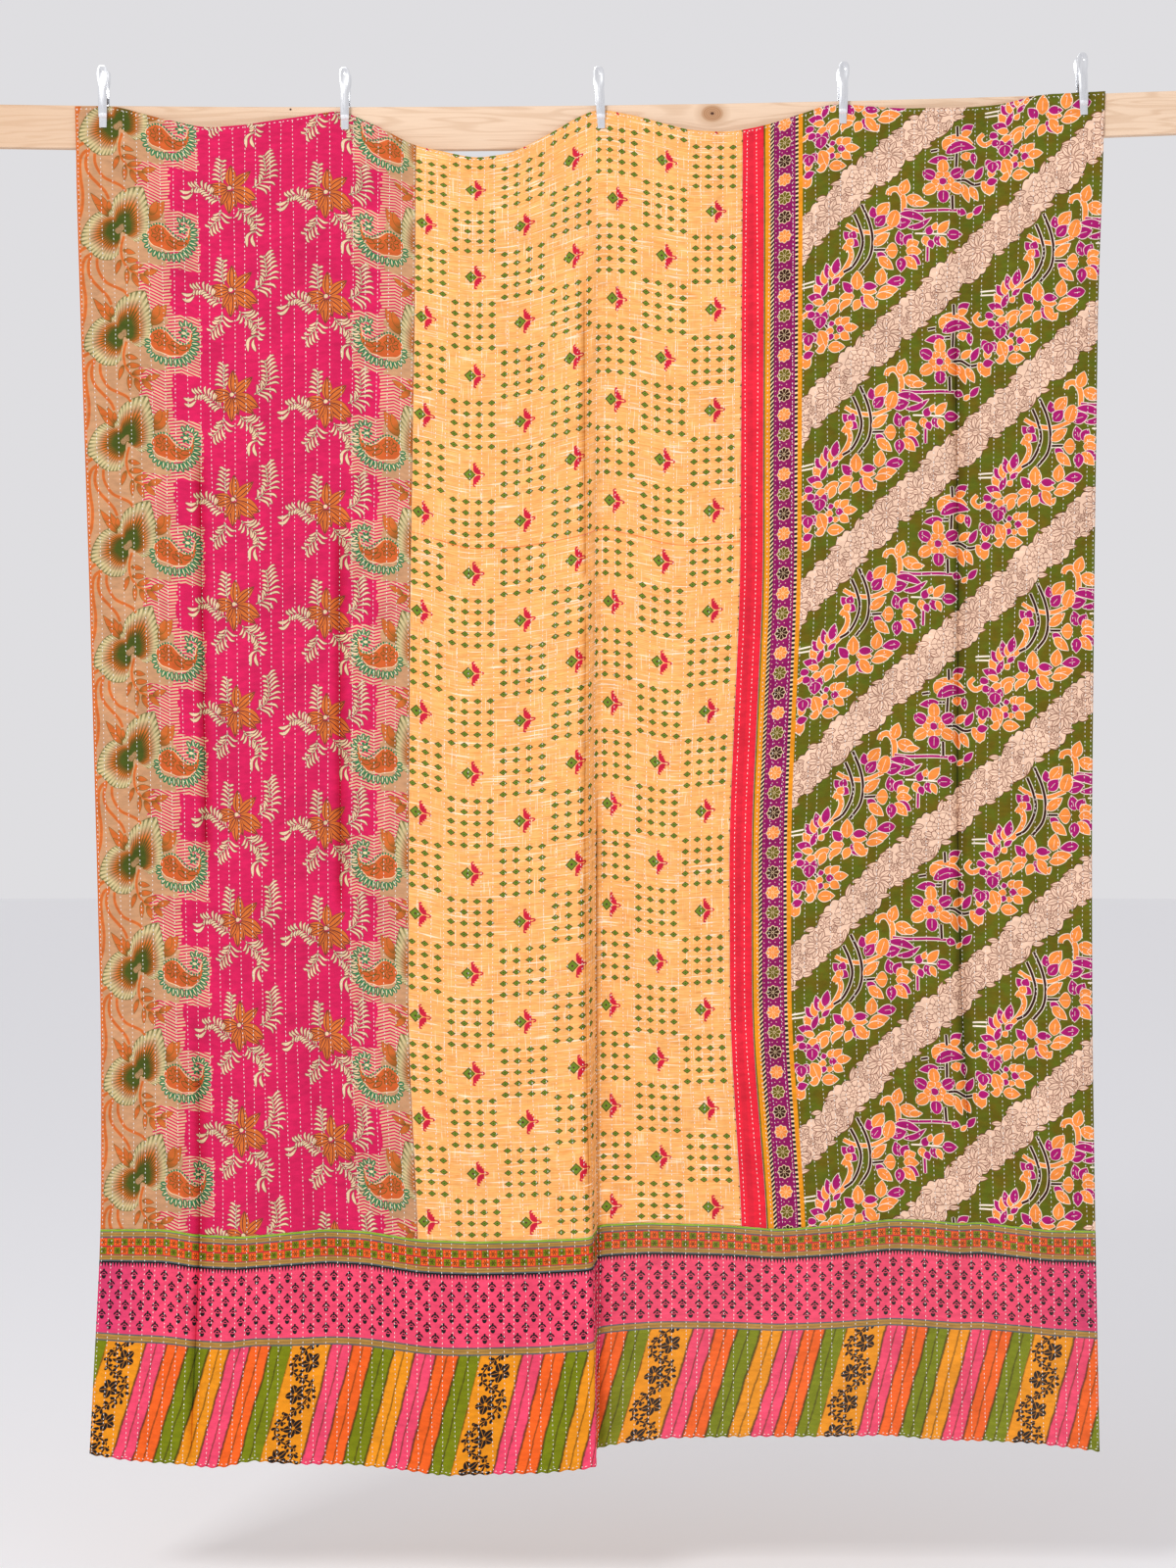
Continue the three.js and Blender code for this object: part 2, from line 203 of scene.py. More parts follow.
HEM = (
    (0, 63, 147, 190, 230, 272, 355, 438, 521, 603, 763, 848, 896, 932, 1011, 1374, 1458, 1625, 1735),
    (-2, 7, 10, 18, 18, 6, 13, 13, 21, 32, 25, 12, -12, -20, -30, -35, -27, -22, -7),
)
SAG = ((0, 190, 760, 1835), (1, 0.5, 0.26, 0))
SLACK = ((0, 438, 563, 648, 900, 1015, 1150, 1735), (0, 0, -20, 0, 0, 20, 0, 0))
RELIEF_DOWN = (0, 400, 1100, 2205)
RELIEF = (
    (0, 1, (4, 4, 6, 2)),
    (60, 25, (3, 4, 8, 6)),
    (140, 30, (8, 14, 18, 22)),
    (190, 12, (10, 8, 7, 8)),
    (290, 45, (14, 14, 16, 16)),
    (415, 14, (6, 5, 6, 6)),
    (560, 40, (14, 12, 8, 8)),
    (660, 45, (22, 22, 16, 10)),
    (760, 40, (14, 14, 14, 22)),
    (848, 9, (10, 20, 32, 50)),
    (896, 12, (4, 3, 2, 4)),
    (960, 30, (5, 6, 6, 8)),
    (1050, 40, (14, 14, 12, 8)),
    (1150, 30, (10, 8, 6, 6)),
    (1225, 35, (8, 9, 12, 14)),
    (1310, 35, (4, 8, 14, 18)),
    (1410, 40, (12, 10, 8, 8)),
    (1480, 30, (14, 12, 12, 10)),
    (1535, 12, (8, 6, 5, 4)),
    (1630, 40, (6, 10, 14, 14)),
    (1735, 1, (4, 6, 10, 4)),
)

CREASES = (
    ((197, 198), (520, 1240), 3.0),
    ((180, 172), (1500, LENGTH), 2.6),
    ((438, 441), (640, 1330), 2.8),
    ((853, 851), (260, 820), 2.6),
    ((851, 848), (760, 1835), 2.6),
    ((889, 889), (1100, LENGTH), 3.4),
    ((1494, 1524), (330, 1700), 2.8),
)

# How softly the lines of the hang turn, how the clips hold the cloth, and how it leans out below the rail.

LEVEL_EASE, RELIEF_EASE, LEAN_EASE, TOP_EASE = 90, 150, 6, 22
SEAM_EASE, HEM_EASE, SAG_EASE, SLACK_EASE = 18, 18, 60, 30
CLIP_GRIP = 38
CLIP_FREE = (14, 144)
MID_LAYER = 1.5
LEAN_OUT = ((0, CLIP_GRIP, 130, LENGTH), (0, 0, 7, 7))

# How a hand-sewn row strays: how far, its waves across and down, and where they start.

WANDER = ((1.3, 0.11, 0.0047, 0.0), (0.8, 0.19, -0.0083, 1.0))

# Puckers between the rows, the swell of the layers, the scallops of the hem and the shape of a pressed fold.

PUCKER_HIGH, PUCKER_LENGTH, PUCKER_STEP, PUCKER_DRIFT, DRIFT_LENGTH = 0.8, 17, 2.4, 1.6, 43
SWELL_ROUND, SWELL_SHARE = 0.75, 0.94
SCALLOP_HIGH, SCALLOP_REACH = 2.5, 22
CREASE_HALF, CREASE_START, CREASE_END = 4.5, 90, 60
LIP_HIGH, LIP_AT, LIP_HALF = 0.6, 8, 6
BACK_DEEP, BACK_HALF = 1.15, 15
FAR_OFF = 99.0


def bend(at, knots, values, reach):
    """A line through the knots whose corners are rounded over their reach."""
    reach = np.broadcast_to(reach, len(knots))
    slope = (values[1] - values[0]) / (knots[1] - knots[0])
    result = values[0] + slope * (at - knots[0])
    for i in range(1, len(knots) - 1):
        turn = (values[i + 1] - values[i]) / (knots[i + 1] - knots[i])
        past = np.clip(at - knots[i], -reach[i], reach[i])
        eased = (past + reach[i]) ** 2 / (4 * reach[i]) + np.maximum(at - knots[i] - reach[i], 0)
        result = result + (turn - slope) * eased
        slope = turn
    return result


def smooth(value, low, high):
    """0 below low, 1 above high, and an easy rise between them."""
    part = np.clip((value - low) / (high - low), 0, 1)
    return part * part * (3 - 2 * part)


def drape(u, v):
    """The middle of the cloth's thickness at a flat place, in millimetres."""
    across, reach, lines = zip(*HANG_LINES)
    x = bend(u, across, [bend(v, LEVELS, line, LEVEL_EASE) for line in lines], reach)
    free = np.ones_like(u)
    for clip in CLIPS_ACROSS:
        free = np.minimum(free, smooth(np.hypot(u - clip, np.maximum(v - CLIP_GRIP, 0)), *CLIP_FREE))
    across, reach, folds = zip(*RELIEF)
    relief = bend(u, across, [bend(v, RELIEF_DOWN, fold, RELIEF_EASE) for fold in folds], reach)
    y = RAIL_FACE - MID_LAYER - bend(v, *LEAN_OUT, LEAN_EASE) - free * relief
    seam = bend(u, *BORDER_SEAM, SEAM_EASE)
    share = bend(v, *SAG, SAG_EASE)
    slack = bend(u, *SLACK, SLACK_EASE) * np.sin(np.pi * v / BORDER_SEAM_AT)
    upper = seam + (bend(u, *TOP_EDGE, TOP_EASE) - seam) * share + slack
    part = (v - BORDER_SEAM_AT) / (LENGTH - BORDER_SEAM_AT)
    lower = seam + (bend(u, *HEM, HEM_EASE) - seam) * part
    z = RAIL_TOP - v - np.where(v > BORDER_SEAM_AT, lower, upper)
    return np.column_stack((x, y, z))


def slopes(u, v):
    """Directions across, down and out of the cloth's face."""
    across = drape(u + 1, v) - drape(u - 1, v)
    down = drape(u, v + 1) - drape(u, v - 1)
    across /= np.linalg.norm(across, axis=1)[:, None]
    down /= np.linalg.norm(down, axis=1)[:, None]
    face = np.cross(down, across)
    return across, down, face / np.linalg.norm(face, axis=1)[:, None]


def wander(u, v):
    """How far a hand-sewn row strays from its straight line, in millimetres."""
    return sum(far * np.sin(across * u + down * v + start) for far, across, down, start in WANDER)


def thickness(u, v):
    """Thickness of the quilted layers, thin along each row and full between two rows, in millimetres."""
    s = sizes()
    rows = (u + wander(u, v)) / (s.row_pitch / MM)
    swell = np.sin(np.pi * rows) ** 2
    row = np.floor(rows)
    drift = PUCKER_DRIFT * np.sin(v / DRIFT_LENGTH + row)
    pucker = PUCKER_HIGH * np.sin(2 * np.pi * v / PUCKER_LENGTH + PUCKER_STEP * row + drift) * swell
    return s.thin / MM + (s.thick - s.thin) / MM * swell**SWELL_ROUND * SWELL_SHARE + pucker


def creases(u, v):
    """How far the narrow pressed folds lift the cloth's face and press its back, the distance to the
    nearest fold and how deep it is, in millimetres. The back is coarser than the face, so a wider strip
    of it is pressed."""
    face, back, deep = np.zeros_like(u), np.zeros_like(u), np.zeros_like(u)
    nearest = np.full_like(u, FAR_OFF)
    for (top, bottom), (start, end), depth in CREASES:
        off = u - np.interp(v, (start, end), (top, bottom))
        shown = depth * smooth(v, start, start + CREASE_START) * smooth(-v, -end - 1, CREASE_END - end)
        lip = LIP_HIGH * np.exp(-(((off + LIP_AT) / LIP_HALF) ** 2))
        face += shown * (lip - np.exp(-((off / CREASE_HALF) ** 2)))
        back -= BACK_DEEP * shown * np.exp(-((off / BACK_HALF) ** 2))
        closer = (np.abs(off) < np.abs(nearest)) & (shown > 0)
        nearest[closer], deep[closer] = off[closer], shown[closer]
    return face, back, nearest, deep


def on_face(u, v, side):
    """Points on the front (side 1) or the back (side -1) of the cloth, in millimetres."""
    rows = (u + wander(u, v)) / (sizes().row_pitch / MM)
    hem = np.cos(np.pi * rows) ** 2 * smooth(v, LENGTH - SCALLOP_REACH, LENGTH)
    face, back, *_ = creases(u, v)
    lift = side * thickness(u, v) / 2 + np.where(side > 0, face, back)
    points = drape(u, v) + slopes(u, v)[2] * lift[:, None]
    points[:, 2] += SCALLOP_HIGH * hem
    return points


# Materials

def node(tree, kind, *values, links=None, stops=(), blend="LINEAR", **settings):
    """Adds a shader node with its settings, and gives its inputs their values or links. A kind may name
    its operation after a colon, and one in capitals is an operation of a Math node. Stops are a ramp's
    positions and colours."""
    if kind.isupper():
        kind = "Math:" + kind
    kind, _, operation = kind.partition(":")
    made = tree.nodes.new("ShaderNode" + kind)
    if operation:
        made.operation = operation
    for name, value in settings.items():
        setattr(made, name, value)
    if stops:
        made.color_ramp.interpolation = blend
        elements = made.color_ramp.elements
        elements[0].position, elements[0].color = stops[0]
        elements[1].position, elements[1].color = stops[-1]
        for place, colour in stops[1:-1]:
            elements.new(place).color = colour
    for key, value in [*enumerate(values), *(links or {}).items()]:
        if isinstance(value, bpy.types.Node):
            value = value.outputs[0]
        if isinstance(value, bpy.types.NodeSocket):
            tree.links.new(value, made.inputs[key])
        else:
            made.inputs[key].default_value = value
    return made


def finish(name, roughness, metallic=0.0, sheen=0.0, gloss=0.5):
    """A new material, its node tree and its shader."""
    material = bpy.data.materials.new(name)
    material.use_nodes = True
    shader = material.node_tree.nodes["Principled BSDF"]
    shader.inputs["Roughness"].default_value = roughness
    shader.inputs["Metallic"].default_value = metallic
    shader.inputs["Sheen Weight"].default_value = sheen
    shader.inputs["Specular IOR Level"].default_value = gloss
    return material, material.node_tree, shader


# Prints: each motif is a leaf, an oval or a stem that follows a path on the flat cloth, in millimetres.
# Each face of a cloth keeps where its corners lie along and beside the motifs that reach it, so every
# motif has a sharp edge.

LEAF = 1.0
OVAL = 0.5
STEM = 0.02
LEAN = 0.8
OUTLINE = 1.8
MOTIF_MARGIN = 6
LEAFLET_TIP, LEAFLET_TURN, LEAFLET_ON, LEAFLET_TAPER = 0.9, 0.55, 0.42, 0.35
PAISLEY_LAYERS, WING_LAYERS, BLOOM_LAYERS, LACE_LAYERS, VINE_LAYERS = 4, 3, 4, 4, 3


def curve(points):
    """A path through two points, or an easy curve from the first to the last of more points."""
    points = np.array(points, float)
    if len(points) == 2:
        return points
    part = np.linspace(0, len(points) - 1, 3 * len(points))
    after = np.clip(part.astype(int), 0, len(points) - 2)
    way = (part - after)[:, None]
    ends = np.vstack((2 * points[0] - points[1], points, 2 * points[-1] - points[-2]))
    a, b, c, d = (ends[after + i] for i in range(4))
    return b + way / 2 * (c - a + way * (2 * a - 5 * b + 4 * c - d + way * (3 * (b - c) + d - a)))


def along(points, path):
    """For each point the part of the path's length that it has reached, and how far it lies beside the
    path."""
    nearest = np.full(len(points), np.inf)
    reached, beside = np.zeros(len(points)), np.zeros(len(points))
    runs = np.diff(path, axis=0)
    lengths = np.hypot(*runs.T)
    done = 0.0
    for i, (start, run, length) in enumerate(zip(path, runs, lengths)):
        off = points - start
        at = off @ run / length
        aside = (off[:, 0] * run[1] - off[:, 1] * run[0]) / length
        away = np.hypot(aside, at - np.clip(at, 0, length))
        low = -np.inf if i == 0 else 0.0
        high = np.inf if i == len(runs) - 1 else length
        closer = away < nearest
        nearest[closer] = away[closer]
        reached[closer] = done + np.clip(at, low, high)[closer]
        beside[closer] = aside[closer]
        done += length
    return reached / done, beside, done


def spaced(path, count):
    """Evenly spaced places along a path, and the way on from each."""
    path = curve(path)
    reached = np.append(0, np.cumsum(np.hypot(*np.diff(path, axis=0).T)))
    parts = (np.arange(count) + 0.5) / count
    place, ahead = (
        np.column_stack([np.interp(at * reached[-1], reached, axis) for axis in path.T])
        for at in (parts, parts + 0.3 / count)
    )
    way = ahead - place
    return place, way / np.hypot(*way.T)[:, None]


def wrapped(points, centre, repeat):
    """Points moved by whole repeats of the print to where they lie nearest to a motif's centre."""
    steps = np.array(repeat, float)
    return points - np.round((points - centre) @ np.linalg.inv(steps)) @ steps


def leaflets(path, count, reach, half, ink, side):
    """Curved leaflets on one side of a stem, shorter toward its tip. Each is widest near its outer end."""
    rows = []
    for i, (at, way) in enumerate(zip(*spaced(path, count))):
        out = side * np.array((-way[1], way[0]))
        long = reach * (1 - LEAFLET_TAPER * i / count)
        tip, turn = (at + long * (far * out + LEAFLET_ON * way) for far in (LEAFLET_TIP, LEAFLET_TURN))
        rows.append((ink, LEAF, half, tip, turn, at))
    return rows


def ring(centre, count, inner, outer, half, ink, turn=0.0, blunt=LEAF):
    """Petals round a centre."""
    angles = turn + 2 * math.pi * np.arange(count) / count
    ways = np.column_stack((np.cos(angles), np.sin(angles)))
    return [(ink, blunt, half, centre + inner * way, centre + outer * way) for way in ways]


def spot(centre, radius, ink):
    """A round spot."""
    return (ink, OVAL, radius, np.subtract(centre, (radius, 0)), np.add(centre, (radius, 0)))


def inside(part, beside, length, half, blunt):
    """Depth inside a motif of a half width, which its bluntness shapes as a leaf, an oval or a stem."""
    held = np.clip(part, 0, 1)
    lean = held**LEAN
    return half * (4 * lean * (1 - lean)) ** blunt - np.abs(beside) - length * np.abs(part - held)


def printed_faces(mesh):
    """Faces on the printed side of a cloth, and the corners and points round each."""
    count = len(mesh.polygons)
    side, first = np.empty(count, np.int32), np.empty(count, np.int32)
    mesh.polygons.foreach_get("material_index", side)
    mesh.polygons.foreach_get("loop_start", first)
    point = np.empty(len(mesh.loops), np.int32)
    mesh.loops.foreach_get("vertex_index", point)
    faces = np.flatnonzero(side == 0)
    loops = first[faces, None] + np.arange(4)
    return faces, loops, point[loops]


def print_motifs(mesh, name, layers, repeat, *drawings):
    """Keeps on each printed face its corners' places in the motifs that reach it, the top one in layer 0.
    A drawing is its motifs, the last on top, and the flat places that it is printed on."""
    faces, loops, points = printed_faces(mesh)
    shape = (layers, len(faces))
    place = np.tile((0.0, FAR_OFF, 0.0), (*shape, 4, 1))
    kind = np.zeros((*shape, 3))
    used = np.zeros(len(faces), int)
    grid = [(a, b) for a in (0, 0.5, 1) for b in (0, 0.5, 1)]
    weights = np.array([((1 - a) * (1 - b), a * (1 - b), a * b, (1 - a) * b) for a, b in grid])
    for rows, flat in reversed(drawings):
        corners = flat[points]
        centres = corners.mean(1)
        for ink, blunt, half, *path in reversed(rows):
            path = curve(path)
            reach = np.ptp(path, axis=0) / 2 + half + MOTIF_MARGIN
            middle = (path.min(0) + path.max(0)) / 2
            moved = wrapped(centres, middle, repeat)
            near = np.flatnonzero((np.abs(moved - middle) < reach).all(1) & (used < layers))
            quad = corners[near] + (moved - centres)[near, None]
            part, beside, length = along((weights @ quad).reshape(-1, 2), path)
            depth = inside(part, beside, length, half, blunt).reshape(-1, len(grid)).max(1)
            near, quad = near[depth > -OUTLINE], quad[depth > -OUTLINE]
            part, beside, length = along(quad.reshape(-1, 2), path)
            corner = np.column_stack((part, beside, np.full(part.size, half)))
            place[used[near], near] = corner.reshape(-1, 4, 3)
            kind[used[near], near] = (length, ink, blunt)
            used[near] += 1
    for i in range(layers):
        corner = np.tile((0.0, FAR_OFF, 0.0), (len(mesh.loops), 1))
        corner[loops] = place[i]
        keep_field(mesh, f"{name}{i}", corner, "CORNER")
        face = np.zeros((len(mesh.polygons), 3))
        face[faces] = kind[i]
        keep_field(mesh, f"{name}{i}_kind", face, "FACE")


# The left cloth repeats down its length, and its right edge mirrors its left one.

PAISLEY_REPEAT = ((1e9, 0.0), (0.0, 172.4))
PAISLEY_START = 32.6
PAISLEY_MIDDLE = 329.9
COMB_STEP = 5.4
FLOWERS_AT = ((255.0, -95.6), (414.0, -69.2))
PETALS = (
    (6.9, (2, -3), (2, -40)),
    (6.9, (3, -1), (35, -26)),
    (9.9, (5, 3), (45, 25)),
    (6.6, (3, 5), (37, 35)),
    (4.6, (2, 5), (11, 35)),
    (7.3, (0, 5), (-1, 45)),
    (5.3, (-2, 5), (-15, 30)),
    (5.9, (-3, 0), (-32, -7)),
    (5.6, (-3, 1), (-30, 9)),
)
SPRAYS = (
    (5, 11, 6, 18, (-11, -10), (-14, -23), (-13, -39), (-12, -50)),
    (10, 27, 8, 14, (38, 3), (53, -5), (59, -17), (59, -30), (56, -51)),
    (10, 18, 10, 14, (-17, 21), (-29, 14), (-38, 5), (-48, -1), (-63, 2)),
    (5, 14, 6, 23, (-15, 37), (-17, 50), (-25, 59), (-35, 69)),
    (9, 15, 9, 22, (14, 36), (22, 47), (35, 55), (43, 68), (41, 81)),
)
SPRAY_TIPS = (
    ((-83, 10), (-73, 12), (-63, 7)), ((-82, 19), (-72, 21), (-61, 11)),
    ((28, 104), (28, 86), (40, 78)), ((41, 105), (36, 93), (38, 84)),
)
EDGE_LEAVES = (
    (6.1, (52, -22), (23, -61)), (4.5, (51, -24), (31, -42)), (4.8, (53, -29), (41, -56)),
    (3.8, (54, -32), (53, -48)), (9.6, (121, -23), (146, -61)), (5.8, (123, -33), (134, -59)),
    (4.3, (75, 32), (96, 35)), (4.5, (76, 48), (101, 46)), (4, (71, 48), (66, 59), (62, 72)),
    (4.3, (85, 62), (109, 52)), (4, (81, 62), (80, 89)), (5, (90, 68), (101, 91)),
    (5, (102, 69), (121, 85)), (4.8, (109, 68), (133, 57)),
)
EDGE_STEMS = (
    (1.6, (77, 9), (72, 27), (73, 45), (81, 59), (95, 68), (116, 68)), (2.1, (13, 28), (3, 34), (-5, 44)),
    (2.2, (23, 38), (11, 46), (6, 62), (7, 86), (10, 111), (8, 138), (2, 156)),
    (2.1, (21, 41), (16, 57), (17, 71), (23, 83), (35, 96), (47, 109), (53, 122)),
    (1.9, (31, 46), (31, 60), (36, 73), (46, 86), (61, 93), (75, 99), (82, 107)),
)
LOOPS = (
    (114, 0), (113, 12), (117, 22), (127, 31), (139, 34), (154, 33), (168, 32), (180, 25), (189, 15),
    (195, 3), (196, -11), (195, -24), (188, -33), (177, -37), (167, -32),
)
BEADS = ((118, -10), (125, -16), (135, -21), (145, -20), (155, -13), (165, -6), (175, -2), (185, -6))
ROSETTE_AT = (175, -20)
MANGO_HEAD = (135, -3)
MANGO_LEAVES = (((148, 4), (165, 15)), ((153, -2), (172, 6)), ((165, 6), (183, 3)))
BEAN_CENTRE = (71.0, -1.0)
BEAN_RIM = (
    (-90, -45, -35, 0, 20, 45, 56, 62, 70, 80, 100, 115, 130, 150, 175, 190, 198, 210, 235, 255, 268, 270),
    (3, 4, 31, 48, 54, 67, 78, 87, 80, 70, 52, 33, 40, 50, 60, 67, 70, 64, 60, 51, 36, 3),
)
MANGO = (
    ((136, 0), 19.5), ((150, 7), 14.5), ((166, 9), 9.5), ((180, 3), 5.0), ((187, -9), 2.2), ((188, -22), 1.0),
)
SPRAY_STEM, SPRAY_LEAFLET, SPRAY_TIP, PETAL_FULL, FLOWER_EYE = 1.0, 1.75, 2.6, 1.25, 3.4
LOOP_COUNT, LOOP_HALF, LOOP_OUT, BEAD_COUNT, BEAD_RADIUS = 22, 3.2, 5.4, 15, 1.5
PETAL_INK, LEAF_INK, SPRAY_INK, LOOP_INK, STEM_INK, MANGO_INK = range(6)


def mango_depth(points):
    """Depth inside a paisley, a chain of circles that shrink along its curl."""
    local = wrapped(points, (160, -10), PAISLEY_REPEAT)
    depth = np.full(len(points), -np.inf)
    for (start, wide), (end, narrow) in zip(MANGO, MANGO[1:]):
        run = np.subtract(end, start)
        off = local - start
        part = np.clip(off @ run / (run @ run), 0, 1)
        depth = np.maximum(depth, wide + (narrow - wide) * part - np.hypot(*(off - part[:, None] * run).T))
    return depth


def bean_fields(points):
    """Place from the notch of a two-lobed leaf, and the share of the way to its rim."""
    off = wrapped(points, BEAN_CENTRE, PAISLEY_REPEAT) - BEAN_CENTRE
    turn = np.degrees(np.arctan2(-off[:, 1], off[:, 0]))
    turn = np.where(turn < -90, turn + 360, turn)
    rim = np.interp(turn, *BEAN_RIM)
    return np.column_stack((off, np.hypot(*off.T) / rim))


def edge_drawing():
    """Leaves, stems and paisley ornaments of the left cloth's edge."""
    rows = [(STEM_INK, STEM, half, *path) for half, *path in EDGE_STEMS]
    rows += [(LEAF_INK, LEAF, half, *path) for half, *path in EDGE_LEAVES]
    for at, way in zip(*spaced(LOOPS, LOOP_COUNT)):
        out = np.array((-way[1], way[0]))
        inner = 5 + 5.5 * max(0, 0.7 * out.sum())
        rows.append((LOOP_INK, OVAL, LOOP_HALF, at - inner * out, at + LOOP_OUT * out))
    rows += [spot(at, BEAD_RADIUS, LOOP_INK) for at in spaced(BEADS, BEAD_COUNT)[0]]
    rows += ring(ROSETTE_AT, 6, 4.5, 9.5, 1.9, LOOP_INK)
    rows.append(spot(ROSETTE_AT, 4.6, LOOP_INK))
    rows += ring(MANGO_HEAD, 7, 2.0, 13.0, 3.9, MANGO_INK)
    rows += [(MANGO_INK, LEAF, 4.0, *path) for path in MANGO_LEAVES]
    return rows


def flower_drawing(centre):
    """One flower of the left cloth's field: sprays of leaflets, petals and an eye."""
    rows = []
    for count, reach, other_count, other_reach, *path in SPRAYS:
        path = np.add(path, centre)
        rows.append((SPRAY_INK, STEM, SPRAY_STEM, *path))
        rows += leaflets(path, count, reach, SPRAY_LEAFLET, SPRAY_INK, 1)
        rows += leaflets(path, other_count, other_reach, SPRAY_LEAFLET, SPRAY_INK, -1)
    rows += [(SPRAY_INK, LEAF, SPRAY_TIP, *np.add(path, centre)) for path in SPRAY_TIPS]
    rows += [(PETAL_INK, LEAF, PETAL_FULL * half, *np.add(path, centre)) for half, *path in PETALS]
    return [*rows, spot(centre, FLOWER_EYE, SPRAY_INK)]


def print_paisley(mesh, flat):
    """Everything that the left cloth's print needs to know."""
    places = flat - (0, PAISLEY_START)
    folded = np.column_stack((PAISLEY_MIDDLE - np.abs(places[:, 0] - PAISLEY_MIDDLE), places[:, 1]))
    flowers = [row for centre in FLOWERS_AT for row in flower_drawing(centre)]
    print_motifs(mesh, "paisley", PAISLEY_LAYERS, PAISLEY_REPEAT, (edge_drawing(), folded), (flowers, places))
    keep_field(mesh, "bean", bean_fields(folded))
    keep_field(mesh, "mango", np.repeat(mango_depth(folded)[:, None], 3, 1))


# The middle cloth has a winged diamond in every other place of its grid: the half width and path of a
# wing's parts.

DOT_LEFT = 537.5
DOT_TOP = 25.4
DOT_CELL = (84.0, 82.8)
DOT_STEP = (21.0, 18.4)
DOT_START = (10.5, 4.6)
DOT_HALF = (6.9, 5.0)
DIAMOND_LEFT = 37.0
DIAMOND_HALF = 10.4
DIAMOND_EYE = 1.7
DIAMOND_AT = (DOT_LEFT + DIAMOND_LEFT, DOT_TOP + 1.5 * DOT_CELL[1])
STRAY_WEFT = (563.0, 1132.0, 683.0, 703.0)
DOT_REPEAT = (DOT_CELL, (0.0, 2 * DOT_CELL[1]))
WING = (
    (LEAF, 2.2, (12.5, 4.5), (18.5, 8.5)),
    (LEAF, 2.2, (10, 8), (15.5, 12.5)),
    (LEAF, 2.0, (8, 12), (12.5, 16)),
    (STEM, 1.2, (7.4, 13.6), (6.7, 18.4), (10.6, 19.4)),
    (STEM, 1.1, (14, 2), (22, 2.2), (25.5, 0)),
    (LEAF, 4.3, (18.5, 1.0), (10.4, 8), (7.2, 17)),
)


def print_dotted(mesh, flat):
    """Wings of the middle cloth's diamonds."""
    places = flat - DIAMOND_AT
    sides = (1, -1)
    rows = [(0, blunt, half, *np.multiply(path, (1, side))) for blunt, half, *path in WING for side in sides]
    print_motifs(mesh, "wing", WING_LAYERS, DOT_REPEAT, (rows, places))


# The right cloth repeats on a slanting lattice: leaves, round spots and stems with their ink, half width
# and path.

